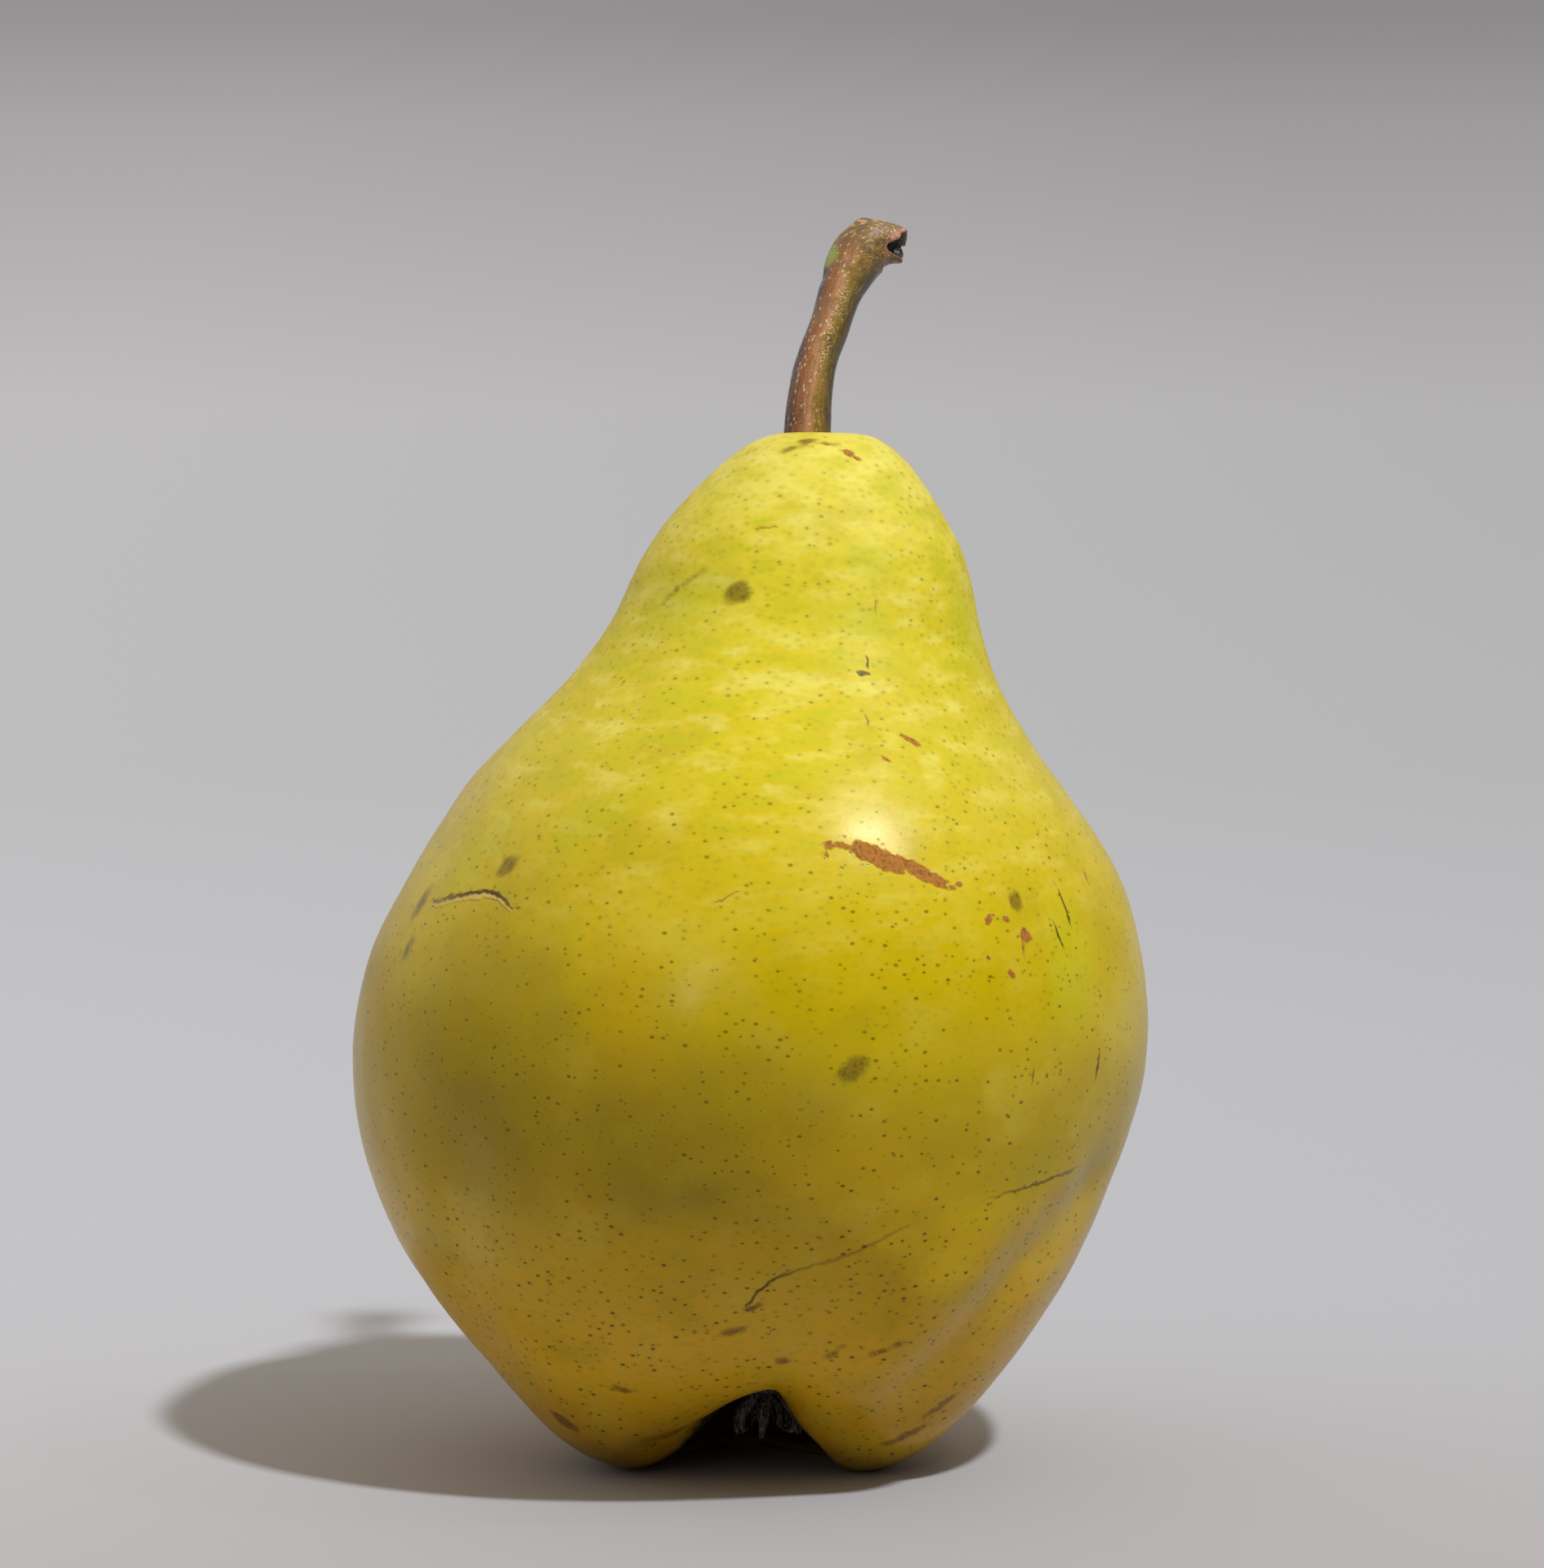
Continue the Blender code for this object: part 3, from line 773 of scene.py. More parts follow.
        # Painted shade: the basin under the fruit, inside its arch, is painted nearly black.
        basin = board.add("Attribute", out="Fac", attribute_name="basin")
        basin = board.add("Math", (fray, 0.8, basin), operation="MULTIPLY_ADD")
        basin = board.add("MapRange", (basin, 0.2, 0.8, 0.0, 0.95))
        tint = board.add("Mix", {0: basin, 6: tint, 7: linear(self.basin_shade_colour)}, 2, data_type="RGBA")
        bloom = board.add("MapRange", (share, 0.66, 0.76, 0.3, 0.5))
        corky = board.add("Math", (masks[MarkKind.RUSSET], 0.75), operation="MULTIPLY")
        rough = board.add("Math", (bloom, corky), operation="MAXIMUM")
        tint, relief = self.crease(board, fray, tint, relief)
        shader = board.add("BsdfPrincipled", {
            "Base Color": tint,
            "Roughness": rough,
            "IOR": 1.44,
            "Specular IOR Level": 0.38,
            "Specular Tint": linear("#FFF8E0"),
            "Subsurface Weight": 0.1,
            "Subsurface Radius": (1.0, 0.6, 0.15),
            "Subsurface Scale": 0.0025,
            "Normal": board.add("Bump", {"Strength": 1.0, "Distance": MM, "Height": relief}),
        })
        board.add("OutputMaterial", {"Surface": shader})
        piece.data.materials.append(material)


@dataclass
class Fruit:
    """The fruit: flesh and skin in one closed form, from the stem's cavity to the basin of the calyx.

    outline is (distance from the axis, height), sway is (height, sideways offset). The side lobes are
    (direction, drop, half width in degrees). The forms are (path of (fraction down the outline, degrees
    round), rise, reach to either side). Uneven is (wave length, depth, seed).
    """

    outline: Stations = (
        (0.0, 99.4), (4.0, 100.4), (7.6, 98.9), (12.1, 94.3), (15.8, 88.5), (18.0, 82.5), (22.4, 74.5),
        (28.5, 67.0), (33.8, 59.0), (38.1, 49.0), (39.2, 39.5), (36.7, 27.5), (31.1, 16.3), (25.0, 8.6),
        (19.6, 3.5), (14.6, 0.7), (10.6, 0.0), (7.8, 1.1), (5.4, 4.2), (3.3, 7.2), (0.0, 8.4),
    )
    sway: Stations = (
        (0.0, -0.2), (13.0, -0.2), (26.0, -0.7), (38.0, -0.1), (48.0, 0.6), (58.0, 1.5), (68.0, 1.6),
        (76.0, 3.2), (84.0, 4.9), (92.0, 5.6), (102.0, 7.4),
    )
    lean_degrees: float = 8.0
    lean_height: float = 40.0
    centre_shift: tuple[float, float] = (-0.06, 0.37)
    rest_height: float = 0.9
    foot_height: float = 30.0
    rim_radius: float = 10.6
    front_lift_degrees: float = -82.0
    front_lift: float = 6.8
    front_lift_narrowness: tuple[float, float] = (8.0, 30.0)
    side_lobes: Stations = ((-187.0, 1.4, 38.0), (4.0, 1.7, 40.0))
    side_lobe_reach: float = 14.0
    basin_side_shift: float = 2.4
    front_lobe_degrees: float = -90.0
    lobe_count: int = 5
    lobe_rise: float = 0.6
    lobe_centre: float = 0.86
    lobe_reach: float = 0.07
    forms: tuple[tuple[Stations, float, float], ...] = (
        ((
            (0.91, -58.0), (0.87, -50.0), (0.82, -44.0), (0.76, -41.0), (0.69, -34.0), (0.64, -20.0),
        ), -1.1, 4.8),
        (((0.85, -70.0), (0.80, -60.0), (0.74, -54.0), (0.67, -46.0)), 0.5, 4.5),
        (((0.92, -112.0), (0.89, -138.0)), -1.0, 2.2),
        (((0.61, -137.0), (0.75, -160.0)), -0.7, 4.5),
        (((0.84, -125.0),), 0.6, 9.0),
        (((0.40, -90.0),), 2.8, 20.0),
    )
    inset: float = 0.05
    uneven: tuple[tuple[float, float, int], ...] = ((19.0, 0.10, 3), (7.0, 0.03, 4))
    wave_count: int = 9
    rings: int = 300
    segments: int = 320
    front_crowd: float = 0.45
    finish: PearSkin = PearSkin()

    def lift_foot(self, points: np.ndarray, around: np.ndarray) -> np.ndarray:
        """Shape the foot of the upright fruit.

        The lift is a raised cosine in front, to the power of its narrowness, less a bell for each side lobe.
        The narrowness is one number for the left of the lift's direction and one for its right. The lift
        fades in from the foot's height down and from the axis to the rim. The basin's middle moves aside.
        """
        radius = np.hypot(points[:, 0], points[:, 1])
        low = smooth_ramp((self.foot_height - points[:, 2]) / self.foot_height)
        wide = smooth_ramp(radius / self.rim_radius)
        turned = turned_from(around, self.front_lift_degrees)
        facing = (1 + np.cos(turned)) / 2
        lift = self.front_lift * facing ** np.where(turned < 0, *self.front_lift_narrowness)
        near_rim = bell(radius - self.rim_radius, self.side_lobe_reach)
        for degrees, drop, half_width in self.side_lobes:
            lift = lift - drop * near_rim * bell(turned_from(around, degrees), math.radians(half_width))
        lifted = points.copy()
        lifted[:, 0] += low * (1 - wide) * self.basin_side_shift
        lifted[:, 2] += low * wide * lift
        return lifted

    def lean_and_sway(self, points: np.ndarray) -> np.ndarray:
        """Shear the fruit sideways by its sway, turn it back about a level axis and set its height."""
        sway = np.asarray(self.sway)
        side = natural_spline(sway[:, 0], sway[:, 1:], points[:, 2])[:, 0]
        lean = math.radians(self.lean_degrees)
        over = points[:, 2] - self.lean_height
        return np.stack([
            points[:, 0] + side + self.centre_shift[0],
            points[:, 1] * math.cos(lean) + over * math.sin(lean) + self.centre_shift[1],
            self.lean_height + self.rest_height + over * math.cos(lean) - points[:, 1] * math.sin(lean),
        ], axis=1)

    def surface(self, along: np.ndarray, around: np.ndarray) -> np.ndarray:
        """Give the skin: the turned outline moved outwards by its relief, with its foot, lean and sway.

        The relief is five cosine lobes round the rim, a bell across each form's path, and a slight seeded
        unevenness that only goes inwards. The result is kept inside the CAD node's box.
        """
        points, outward = revolve(self.outline, along, around)
        ridge = np.cos(self.lobe_count * turned_from(around, self.front_lobe_degrees))
        relief = self.lobe_rise * bell(along - self.lobe_centre, self.lobe_reach) * ridge - self.inset
        for path, height, reach in self.forms:
            down, turn = np.array(path).T
            route = revolve(self.outline, down, np.radians(turn))[0]
            relief = relief + height * bell(distance_to_path(points, route), reach)
        for length, depth, seed in self.uneven:
            relief = relief - depth * (1 + np.tanh(waves(points, length, self.wave_count, seed)))
        skin = self.lift_foot(points + relief[:, None] * outward, around)
        return keep_inside(self.lean_and_sway(skin), "fruit")

    def build(self) -> None:
        """Build and settle the skin."""
        grid = Skin("fruit_skin", self.surface, self.rings, self.segments, self.front_crowd)
        piece = grid.build()
        self.finish.dress(piece, grid)
        settle(piece, "fruit")


@dataclass(frozen=True)
class StemBark:
    """Bark of a pear's stem: smooth and faintly waxy, brown on one side and olive on the other, with painted
    shade at both edges and a painted highlight down its middle.

    To the eye it has fine lengthwise streaks, pale specks that are painted glints, a green bud scar with
    painted shade under it, golden wrinkles on the swollen end, tan torn wood at the rim there and a hollow
    painted nearly black as shade.
    """

    title: str = "stem_bark"
    # Painted light across the stem: both edges are painted dark as shade and the middle pale as a highlight,
    # over brown on the left and olive on the right.
    side_tones_with_painted_light: Tones = (
        (0.0, "#24160A"), (0.14, "#6E3C10"), (0.34, "#8E561E"), (0.5, "#AC7A4E"), (0.64, "#8C6C26"),
        (0.86, "#5E4C18"), (1.0, "#2C240A"),
    )
    streak_width: float = 0.35
    streak_height: float = 0.06
    patch_width: float = 2.4
    wrinkle_width: float = 0.5
    wrinkle_height: float = 0.08
    # The specks are painted glints, raised a little.
    speck_spacing: float = 0.4
    speck_height: float = 0.03
    pebble_width: float = 0.22
    pebble_height: float = 0.11

    def dress(self, piece: bpy.types.Object) -> None:
        """Make the material and put it on the bark.

        The streaks and specks follow the unrolled place, squeezed lengthwise, so they run along the stem.
        """
        material = bpy.data.materials.new(self.title)
        board = Board(material)
        unrolled = board.add("Attribute", out="Vector", attribute_name="unrolled")
        side, head, tip, hollow, torn, bud, ledge = (
            board.add("Attribute", out="Fac", attribute_name=title)
            for title in ("side", "head", "tip", "hollow", "torn", "bud", "ledge")
        )
        lengthwise = board.add("Mapping", {"Vector": unrolled, "Scale": (1.0, 1.0, 0.16)})
        streak, patch, wrinkle, pebble = (
            board.add("TexNoise", {"Vector": at, "Scale": 1 / width, "Detail": detail, "Distortion": bent})
            for at, width, detail, bent in (
                (lengthwise, self.streak_width, 5.0, 0.0), (unrolled, self.patch_width, 4.0, 0.0),
                (unrolled, self.wrinkle_width, 3.0, 0.6), (unrolled, self.pebble_width, 2.0, 0.0),
            )
        )
        shaken = board.add("Math", (patch, 0.5, side), operation="MULTIPLY_ADD")
        shaken = board.add("Math", (shaken, 0.25), operation="SUBTRACT")
        # The tones across the stem hold painted shade at the edges and a painted highlight in the middle.
        tint = board.add("ValToRGB", (shaken,), stops=self.side_tones_with_painted_light)

        dark = board.add("MapRange", (streak, 0.48, 0.3, 0.0, 0.45))
        pale = board.add("MapRange", (streak, 0.56, 0.7, 0.0, 0.35))
        crown = board.add("Math", (head, 0.8), operation="MULTIPLY")
        blotch = board.add("MapRange", (patch, 0.54, 0.66, 0.0, 0.5))
        crest = board.add("MapRange", (wrinkle, 0.52, 0.66))
        gold = board.add("Math", (crest, head), operation="MULTIPLY")
        squeezed = board.add("Mapping", {"Vector": unrolled, "Scale": (1.0, 1.0, 0.5)})
        # Painted glints: pale specks on the left and middle of the stem.
        near = board.add("TexVoronoi", {"Vector": squeezed, "Scale": 1 / self.speck_spacing}, "Distance")
        on_left = board.add("MapRange", (side, 0.9, 0.45, 0.0, 0.8))
        speck = board.add("MapRange", (near, 0.3, 0.12, 0.0, on_left))
        # Painted in this list: the ledge under the bud scar and the hollow are painted dark as shade, and
        # the specks are painted glints.
        for mask, colour in (
            (crown, "#5E4418"), (tip, "#2A1C16"), (dark, "#34200E"), (pale, "#A9784A"), (blotch, "#5A4A1A"),
            (speck, "#DDBB98"), (gold, "#A8822E"), (ledge, "#24160A"), (bud, "#8A9430"), (torn, "#B88064"),
            (hollow, "#0E0804"),
        ):
            tint = board.add("Mix", {0: mask, 6: tint, 7: linear(colour)}, 2, data_type="RGBA")
        relief = board.add("Math", (streak, self.streak_height), operation="MULTIPLY")
        for mask, height in (
            (speck, self.speck_height), (gold, self.wrinkle_height), (pebble, self.pebble_height),
        ):
            relief = board.add("Math", (mask, height, relief), operation="MULTIPLY_ADD")
        shader = board.add("BsdfPrincipled", {
            "Base Color": tint,
            "Roughness": board.add("MapRange", (streak, 0.3, 0.7, 0.14, 0.3)),
            "IOR": 1.45,
            "Specular IOR Level": 0.9,
            "Normal": board.add("Bump", {"Strength": 0.9, "Distance": MM, "Height": relief}),
        })
        board.add("OutputMaterial", {"Surface": shader})
        piece.data.materials.append(material)


@dataclass
class Stem:
    """The woody stem: bark round a curved line, swollen towards its torn, hollow broken end.

    line is the centre line from the broken end to the root. outline is (distance from the line, distance
    along it), and its rim station is the foremost one. The bumps are (centre, height, reach), and negative
    ones are dents. The rim, grain and patch waves are (wave length, count, seed).
    """

    line: Stations = (
        (15.5, 17.2, 118.4), (13.3, 17.1, 118.7), (11.3, 16.5, 118.1), (10.0, 15.3, 116.3),
        (8.9, 13.8, 114.0), (7.9, 12.0, 111.0), (6.9, 10.8, 108.6), (6.1, 9.5, 105.5), (5.7, 8.4, 100.9),
        (5.5, 7.6, 95.0),
    )
    outline: Stations = (
        (0.0, 2.2), (0.8, 1.7), (1.2, 0.5), (1.65, 0.1), (1.95, 0.8), (2.4, 2.6), (2.85, 4.4), (2.75, 6.2),
        (2.35, 8.6), (2.1, 11.4), (2.05, 14.6), (2.1, 18.0), (2.25, 21.4), (2.4, 25.2), (2.0, 28.6),
        (0.0, 31.0),
    )
    inner_station: int = 2
    rim_station: int = 3
    bumps: tuple[tuple[tuple[float, float, float], float, float], ...] = (
        ((10.9, 17.0, 121.8), 0.8, 1.1),
        ((7.9, 15.3, 117.2), 0.15, 1.3),
        ((7.6, 14.2, 115.6), -0.25, 0.7),
    )
    inset: float = 0.03
    grain_depth: float = 0.03
    grain_waves: tuple[float, int, int] = (1.1, 12, 11)
    rim_rag: float = 0.3
    rim_waves: tuple[float, int, int] = (1.3, 10, 21)
    patch_waves: tuple[float, int, int] = (1.6, 9, 33)
    notch_degrees: float = -96.0
    notch_depth: float = 1.9
    notch_half_width: float = 40.0
    most_outward: float = 0.05
    mouth_length: float = 4.5
    head_length: float = 7.5
    head_fade: float = 3.0
    tip_reach: float = 1.3
    torn_reach: float = 0.7
    bud_place: tuple[float, float, float] = (8.0, 14.6, 117.6)
    bud_reach: float = 1.0
    # The ledge is the patch of painted shade under the bud scar.
    ledge_offset: tuple[float, float, float] = (-0.3, 0.0, -1.5)
    ledge_squeeze: tuple[float, float, float] = (0.8, 0.8, 2.2)
    rings: int = 420
    segments: int = 160
    finish: StemBark = StemBark()

    def place_on_axis(self, along: np.ndarray, around: np.ndarray) -> tuple[np.ndarray, np.ndarray]:
        """Give the bark's points and outward directions on a straight axis, with the ragged, notched rim.

        The rim is torn away by a bell round the notch's direction plus seeded waves, both faded in towards
        the mouth.
        """
        points, outward = revolve(self.outline, along, -around)
        turned = turned_from(-around, self.notch_degrees)
        torn = self.notch_depth * bell(turned, math.radians(self.notch_half_width))
        jagged = self.rim_rag * waves(points * np.array([1.0, 1.0, 0.2]), *self.rim_waves)
        near_mouth = smooth_ramp((self.mouth_length - points[:, 2]) / self.mouth_length)
        rim = smooth_ramp(np.hypot(points[:, 0], points[:, 1]) / self.outline[self.inner_station][0])
        points[:, 2] += near_mouth * rim * np.maximum(torn + jagged, -self.most_outward)
        return points, outward

    def surface(self, along: np.ndarray, around: np.ndarray) -> np.ndarray:
        """Give the bark: the torn outline carried round the line, with bumps, dents and lengthwise grain."""
        points, outward = self.place_on_axis(along, around)
        bark = follow_line(self.line, points + self.inset * outward)
        aside = unit(bark - follow_line(self.line, points * np.array([0.0, 0.0, 1.0])))
        for centre, height, reach in self.bumps:
            near = bell(np.linalg.norm(bark - centre, axis=1), reach)
            bark = bark + height * near[:, None] * aside
        unrolled = points * np.array([1.0, 1.0, 0.25])
        grain = self.grain_depth * (1 + np.tanh(waves(unrolled, *self.grain_waves)))
        bark = bark - (grain * smooth_ramp(np.hypot(points[:, 0], points[:, 1])))[:, None] * aside
        return keep_inside(bark, "stem")

    def keep_on_mesh(self, piece: bpy.types.Object, grid: Skin) -> None:
        """Keep where the bark changes: its unrolled place, side, head and tip, its torn end and bud scar.

        The hollow is all that lies before the rim on the outline, and the torn wood is a band over the rim.
        The side goes from 0 on the left to 1 on the right, as seen from the front.
        """
        points, _ = self.place_on_axis(grid.along, grid.around)
        reach = reach_of(self.outline)
        over_rim = grid.along * reach[-1] - reach[self.rim_station]
        offset = unit(grid.points - follow_line(self.line, points * np.array([0.0, 0.0, 1.0])))
        patch = smooth_ramp(0.6 + 0.9 * waves(points, *self.patch_waves))
        from_tip, from_bud = (grid.points - np.array(place) for place in (self.bumps[0][0], self.bud_place))
        from_ledge = (from_bud - np.array(self.ledge_offset)) * np.array(self.ledge_squeeze)
        kept = {
            "unrolled": points,
            "side": 0.5 + 0.5 * offset[:, 0],
            "head": smooth_ramp((self.head_length - points[:, 2]) / self.head_fade),
            "tip": bell(np.linalg.norm(from_tip, axis=1), self.tip_reach),
            # The hollow is painted nearly black as shade.
            "hollow": smooth_ramp(-over_rim / 0.5),
            "torn": bell(over_rim - 0.3, self.torn_reach) * patch * smooth_ramp(0.5 + offset[:, 2]),
            "bud": smooth_ramp(1.6 - np.linalg.norm(from_bud, axis=1) / self.bud_reach),
            # Painted shade: the patch under the bud scar.
            "ledge": smooth_ramp(1.5 - np.linalg.norm(from_ledge, axis=1)),
        }
        for title, values in kept.items():
            grid.keep(piece, title, values)

    def build(self) -> None:
        """Build and settle the bark."""
        grid = Skin("stem_bark", self.surface, self.rings, self.segments)
        piece = grid.build()
        self.keep_on_mesh(piece, grid)
        self.finish.dress(piece)
        settle(piece, "stem")


@dataclass(frozen=True)
class DriedSepal:
    """Dried sepals and threads of a pear's blossom: brittle, matt, nearly black, with paler dusty ribs."""

    title: str = "dried_sepal"
    fibre_width: float = 0.25
    fibre_height: float = 0.08
    dark: str = "#2A211D"
    pale: str = "#8E8078"

    def make(self) -> bpy.types.Material:
        """Make the material, whose fibres run up and down."""
        material = bpy.data.materials.new(self.title)
        board = Board(material)
        whole = board.add("TexCoord", out="Object")
        place = board.add("Mapping", {"Vector": whole, "Scale": (1 / MM, 1 / MM, 0.3 / MM)})
        fibre = board.add("TexNoise", {"Vector": place, "Scale": 1 / self.fibre_width, "Detail": 4.0})
        share = board.add("MapRange", (fibre, 0.42, 0.68))
        tint = board.add("ValToRGB", (share,), stops=((0.0, self.dark), (1.0, self.pale)))
        relief = board.add("Math", (fibre, self.fibre_height), operation="MULTIPLY")
        bump = board.add("Bump", {"Strength": 0.8, "Distance": MM, "Height": relief})
        shader = board.add("BsdfPrincipled", {"Base Color": tint, "Roughness": 0.75, "Normal": bump})
        board.add("OutputMaterial", {"Surface": shader})
        return material


@dataclass
class Calyx:
    """The dried remains of the blossom: a woody cup, curled sepals and withered threads."""

    centre: tuple[float, float] = (1.6, -4.8)
    cup_outline: Stations = (
        (0.0, 11.6), (0.9, 11.5), (1.4, 10.8), (1.5, 9.5), (2.0, 8.7), (2.1, 7.9), (1.3, 7.4), (0.0, 7.5),
    )
    cup_grid: tuple[int, int] = (40, 48)
    sepal_count: int = 9
    first_degrees: float = 208.0
    sepal_rib: Stations = ((0.6, 8.4), (1.7, 7.3), (2.7, 5.9), (3.0, 4.6), (2.6, 3.6), (1.9, 3.8))
    sepal_half_width: float = 0.8
    sepal_half_thickness: float = 0.14
    sepal_grid: tuple[int, int] = (48, 28)
    thread_count: int = 16
    thread_half_width: float = 0.14
    thread_grid: tuple[int, int] = (30, 10)
    seed: int = 5
    finish: DriedSepal = DriedSepal()

    def cup(self, along: np.ndarray, around: np.ndarray) -> np.ndarray:
        """Give the cup: its outline turned round the calyx's middle."""
        return revolve(self.cup_outline, along, around)[0] + np.array([*self.centre, 0.0])

    def blade(
        self, degrees: float, half_width: float, half_thickness: float, rib: Stations, twist: float,
    ) -> Surface:
        """Give a pointed, twisted blade.

        Its cross section is an ellipse, whose size is the square root of a sine along the rib. The ellipse
        turns by the twist from root to tip, and the whole blade swings sideways by a third of the twist.

        Args:
            degrees: Its direction round the calyx's middle.
            half_width: Half its width at its widest.
            half_thickness: Half its thickness there.
            rib: Its middle line, by stations of (distance out, height).
            twist: Its twist in radians.

        Returns:
            The blade's surface.
        """
        def surface(along: np.ndarray, around: np.ndarray) -> np.ndarray:
            fraction = 1 - along
            out, height = along_stations(rib, fraction).T
            run = run_along(rib, fraction, nudge=0.01)
            fullness = np.sqrt(np.clip(np.sin(np.pi * along), 0.0, 1.0))
            wide = half_width * fullness * (0.35 + 0.65 * along) * np.cos(around)
            thick = half_thickness * fullness * np.sin(around)
            roll = twist * fraction
            across = wide * np.cos(roll) - thick * np.sin(roll)
            through = wide * np.sin(roll) + thick * np.cos(roll)
            out = out - run[:, 1] * through
            turn = math.radians(degrees) + roll / 3
            return keep_inside(np.stack([
                self.centre[0] + out * np.cos(turn) - across * np.sin(turn),
                self.centre[1] + out * np.sin(turn) + across * np.cos(turn),
                height + run[:, 0] * through,
            ], axis=1), "calyx")
        return surface

    def sepals(self) -> list[bpy.types.Object]:
        """Make the sepals: each takes the rib with its own curl, length and twist."""
        draw = np.random.default_rng(self.seed)
        pieces = []
        for number in range(self.sepal_count):
            degrees = self.first_degrees + (number + draw.uniform(-0.3, 0.3)) * 360 / self.sepal_count
            rib = np.array(self.sepal_rib)
            stretch = np.linspace(0.0, 1.0, len(rib)) * draw.uniform(-0.25, 0.2)
            rib[:, 0] *= 1 + stretch
            rib[:, 1] += (rib[0, 1] - rib[:, 1]) * stretch * -0.6
            width = self.sepal_half_width * draw.uniform(0.6, 1.25)
            shape = self.blade(degrees, width, self.sepal_half_thickness, rib, draw.uniform(-1.8, 1.8))
            pieces.append(Skin(f"sepal_{number + 1}", shape, *self.sepal_grid).build())
        return pieces

    def threads(self) -> list[bpy.types.Object]:
        """Make the threads, the old stamens: thin wavy blades inside the ring of sepals."""
        draw = np.random.default_rng(self.seed + 1)
        pieces = []
        for number in range(self.thread_count):
            out, low, wave = draw.uniform(0.6, 2.3), draw.uniform(3.0, 5.0), draw.uniform(-0.5, 0.5)
            rib = (
                (0.15 * out, 8.0), (0.6 * out, 6.9), (0.95 * out + wave, 5.8), (1.1 * out - wave, low + 0.6),
                (1.2 * out + wave, low),
            )
            degrees = (number + draw.uniform(-0.4, 0.4)) * 360 / self.thread_count
            width = self.thread_half_width
            shape = self.blade(degrees, 1.3 * width, width, rib, draw.uniform(-2.0, 2.0))
            pieces.append(Skin(f"thread_{number + 1}", shape, *self.thread_grid).build())
        return pieces

    def build(self) -> None:
        """Build and settle the cup, the sepals and the threads, which share one material."""
        material = self.finish.make()
        for piece in [Skin("calyx_cup", self.cup, *self.cup_grid).build(), *self.sepals(), *self.threads()]:
            piece.data.materials.append(material)
            settle(piece, "calyx")


@dataclass(frozen=True)
class Lamp:
    """A square lamp that faces the pear: its direction and distance, its side, its power and its colour.

    A lamp that only glosses adds a sheen and lights nothing else, as a small bulb by a soft box does.
    """

    title: str
    azimuth: float
    elevation: float
    distance: float
    size: float
    power: float
    colour: str
    lights: bool = True
    glosses: bool = True


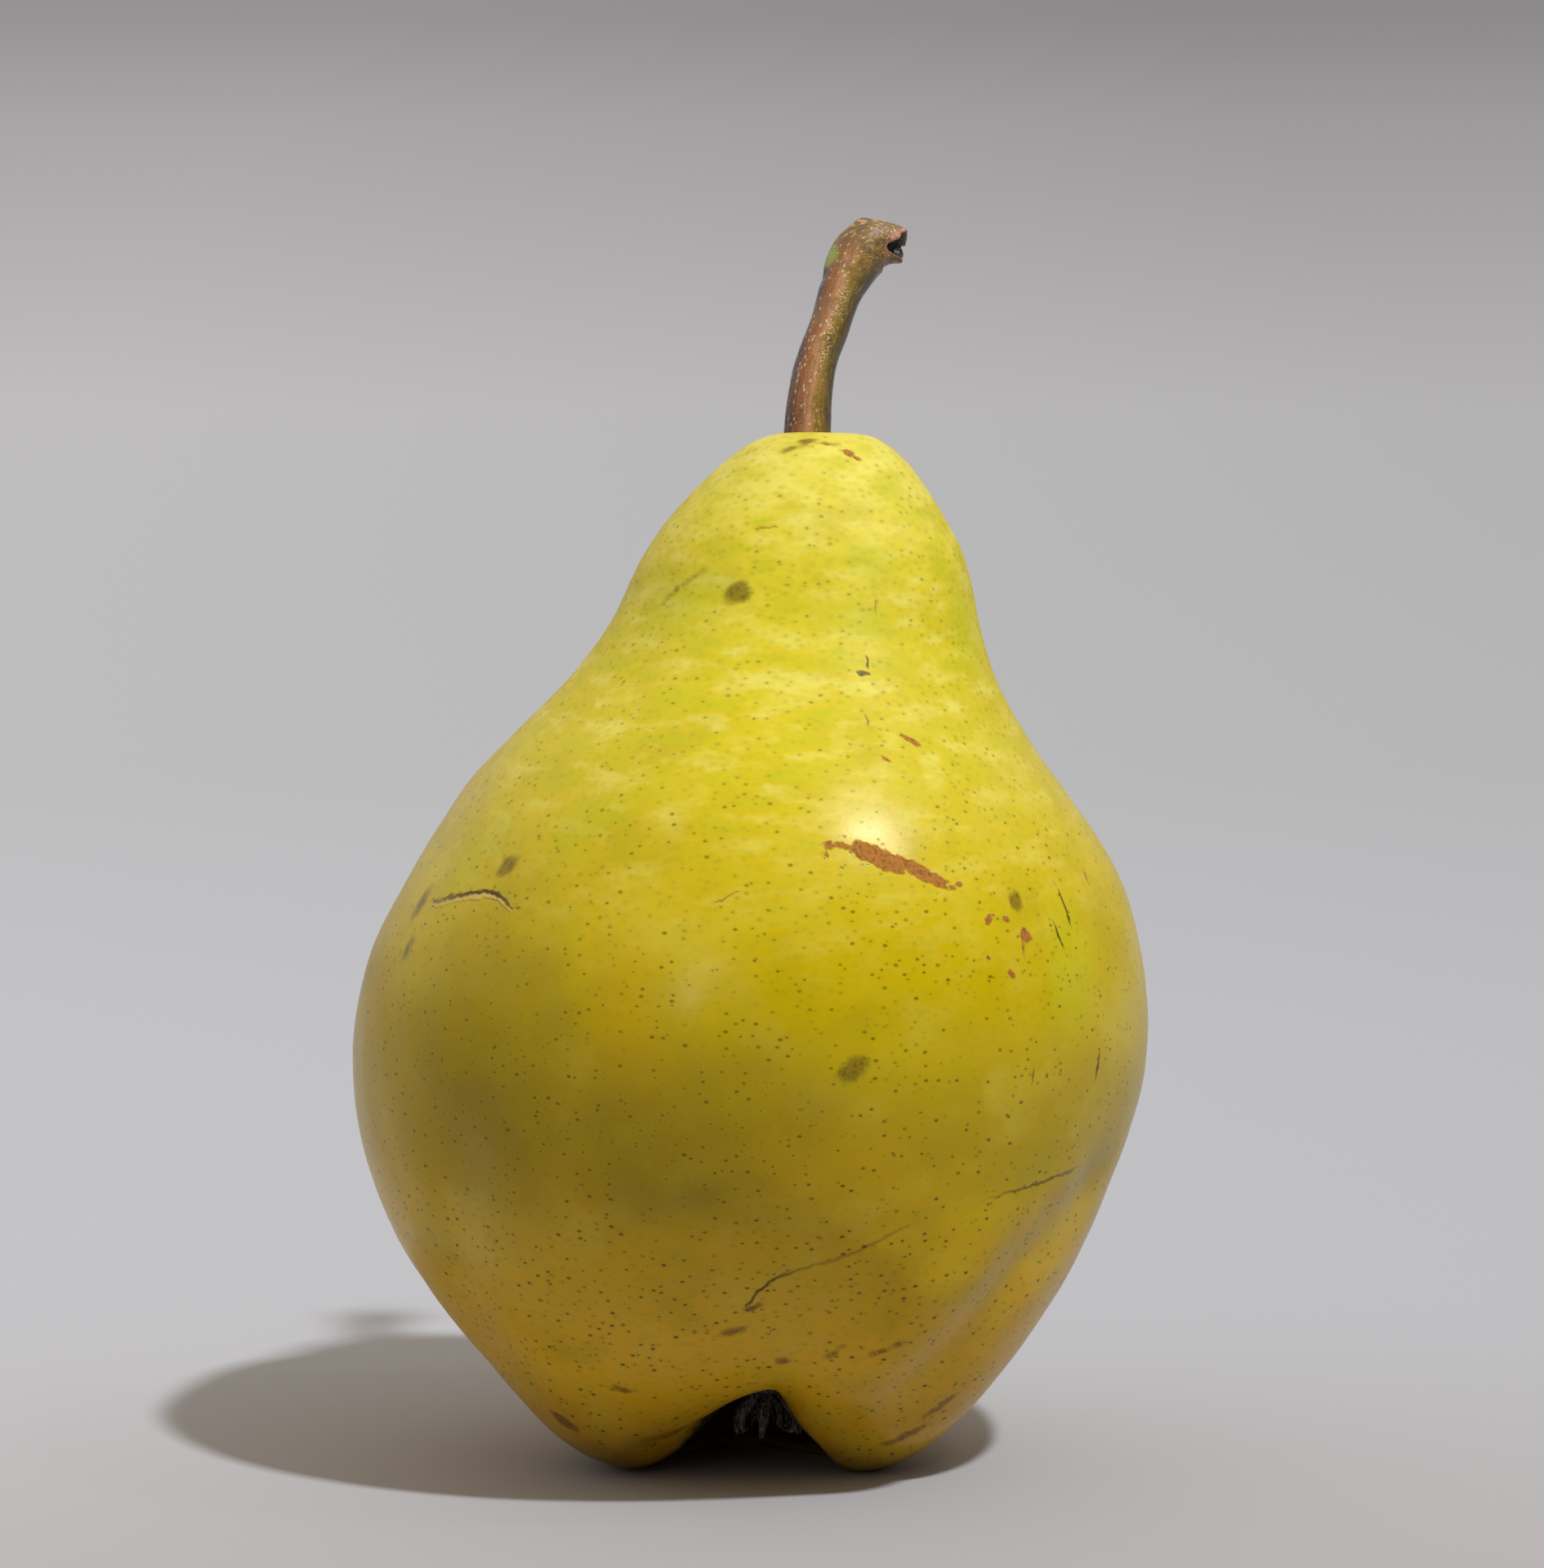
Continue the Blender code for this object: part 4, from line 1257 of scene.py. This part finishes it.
@dataclass
class Studio:
    """The camera, the lamps, the pale cloth on the floor and the fill from all round.

    The sky's share along its tones is 0.5 plus the dot product of its lean with the direction. The cloth's
    tones are painted light: they go from front to back over its reach, brightest some way behind the pear
    and darker far behind it, and its shares paint the left brighter than the right.
    The camera's lengths are in millimetres. Those of the lamps and of the cloth are in metres.
    """

    aim: tuple[float, float, float] = (2.2, 0.0, 67.0)
    distance: float = 1000.0
    elevation: float = 7.3
    lens: float = 234.375
    sensor: float = 36.0
    lamps: tuple[Lamp, ...] = (
        Lamp("key", 41.0, 58.0, 2.2, 0.11, 55.0, "#E8F0FF", glosses=False),
        Lamp("sheen", 76.0, 57.0, 2.2, 0.16, 22.0, "#FFFFFF", lights=False),
        Lamp("glow", -20.0, 19.0, 1.3, 0.16, 1.2, "#E6F0FF", lights=False),
    )
    sky_tones: Tones = ((0.42, "#38342E"), (0.55, "#8A8079"), (0.8, "#CCC6C0"), (1.0, "#D4CECA"))
    sky_lean: tuple[float, float, float] = (-0.12, 0.15, 0.42)
    sky_strength: float = 1.15
    cloth_size: float = 12.0
    cloth_reach: float = 3.0
    cloth_half_view: float = 0.15
    # Painted light on the cloth: darker far behind, where the lamps fall off, and brighter on the left.
    cloth_painted_falloff_tones: Tones = (
        (0.06, "#9A948E"), (0.12, "#A7A5A3"), (0.19, "#ABAAAA"), (0.28, "#ACACAA"), (0.48, "#BCBCBC"),
        (0.8, "#B4B4B8"), (1.0, "#A4A4AA"),
    )
    cloth_painted_light_shares: tuple[float, float] = (1.1, 0.92)

    def heading(self, azimuth: float, elevation: float) -> Vector:
        """Give the unit vector towards an azimuth, from the front to the right, and an elevation."""
        turn, rise = math.radians(azimuth), math.radians(elevation)
        return Vector((math.sin(turn) * math.cos(rise), -math.cos(turn) * math.cos(rise), math.sin(rise)))

    def build(self) -> None:
        """Build the camera, the lamps, the cloth and the sky."""
        scene = bpy.context.scene
        back = self.heading(0.0, self.elevation)
        camera = bpy.data.objects.new("camera", bpy.data.cameras.new("camera"))
        camera.data.lens = self.lens
        camera.data.sensor_width = self.sensor
        camera.location = (Vector(self.aim) + back * self.distance) * MM
        camera.rotation_euler = back.to_track_quat("Z", "Y").to_euler()
        scene.collection.objects.link(camera)
        scene.camera = camera
        for lamp in self.lamps:
            self.hang(lamp)
        self.lay_cloth()
        self.build_sky()
        scene.view_settings.view_transform = "Standard"

    def hang(self, lamp: Lamp) -> None:
        """Hang a lamp in its direction, facing the pear."""
        heading = self.heading(lamp.azimuth, lamp.elevation)
        item = bpy.data.objects.new(lamp.title, bpy.data.lights.new(lamp.title, "AREA"))
        item.data.energy = lamp.power
        item.data.size = lamp.size
        item.data.color = linear(lamp.colour)[:3]
        item.location = heading * lamp.distance
        item.rotation_euler = heading.to_track_quat("Z", "Y").to_euler()
        item.visible_diffuse = lamp.lights
        item.visible_glossy = lamp.glosses
        bpy.context.scene.collection.objects.link(item)

    def build_sky(self) -> None:
        """Fill in from all round: dim from below and in front, bright from above and behind."""
        world = bpy.data.worlds.new("fill")
        board = Board(world)
        towards = board.add("TexCoord", out="Generated")
        share = board.add("VectorMath", (towards, self.sky_lean), "Value", operation="DOT_PRODUCT")
        share = board.add("Math", (share, 0.5), operation="ADD")
        tone = board.add("ValToRGB", (share,), stops=self.sky_tones)
        board.add("OutputWorld", (board.add("Background", (tone, self.sky_strength)),))
        bpy.context.scene.world = world

    def lay_cloth(self) -> None:
        """Lay the pale cloth, which fills the frame behind the pear."""
        bpy.ops.mesh.primitive_plane_add(size=self.cloth_size)
        cloth = bpy.context.object
        cloth.name = "cloth"
        material = bpy.data.materials.new("pale_cloth")
        board = Board(material)
        right = board.add("SeparateXYZ", (board.add("TexCoord", out="Object"),))
        back = right.node.outputs["Y"]
        # Painted light: the cloth's tone changes from front to back and is scaled brighter on the left than
        # on the right.
        share = board.add("Math", (back, 1 / self.cloth_reach, 0.1), operation="MULTIPLY_ADD")
        tone = board.add("ValToRGB", (share,), stops=self.cloth_painted_falloff_tones)
        edge = self.cloth_half_view
        side = board.add("MapRange", (right, -edge, edge, *self.cloth_painted_light_shares))
        tone = board.add("VectorMath", {0: tone, "Scale": side}, operation="SCALE")
        shader = board.add("BsdfPrincipled", {"Base Color": tone, "Roughness": 0.9})
        board.add("OutputMaterial", {"Surface": shader})
        cloth.data.materials.append(material)


def main() -> None:
    """Load the frame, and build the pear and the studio."""
    logging.basicConfig(level=logging.INFO, format="%(name)s: %(message)s")
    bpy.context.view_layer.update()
    Studio().build()
    Fruit().build()
    Stem().build()
    Calyx().build()


if __name__ == "__main__":
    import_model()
    main()
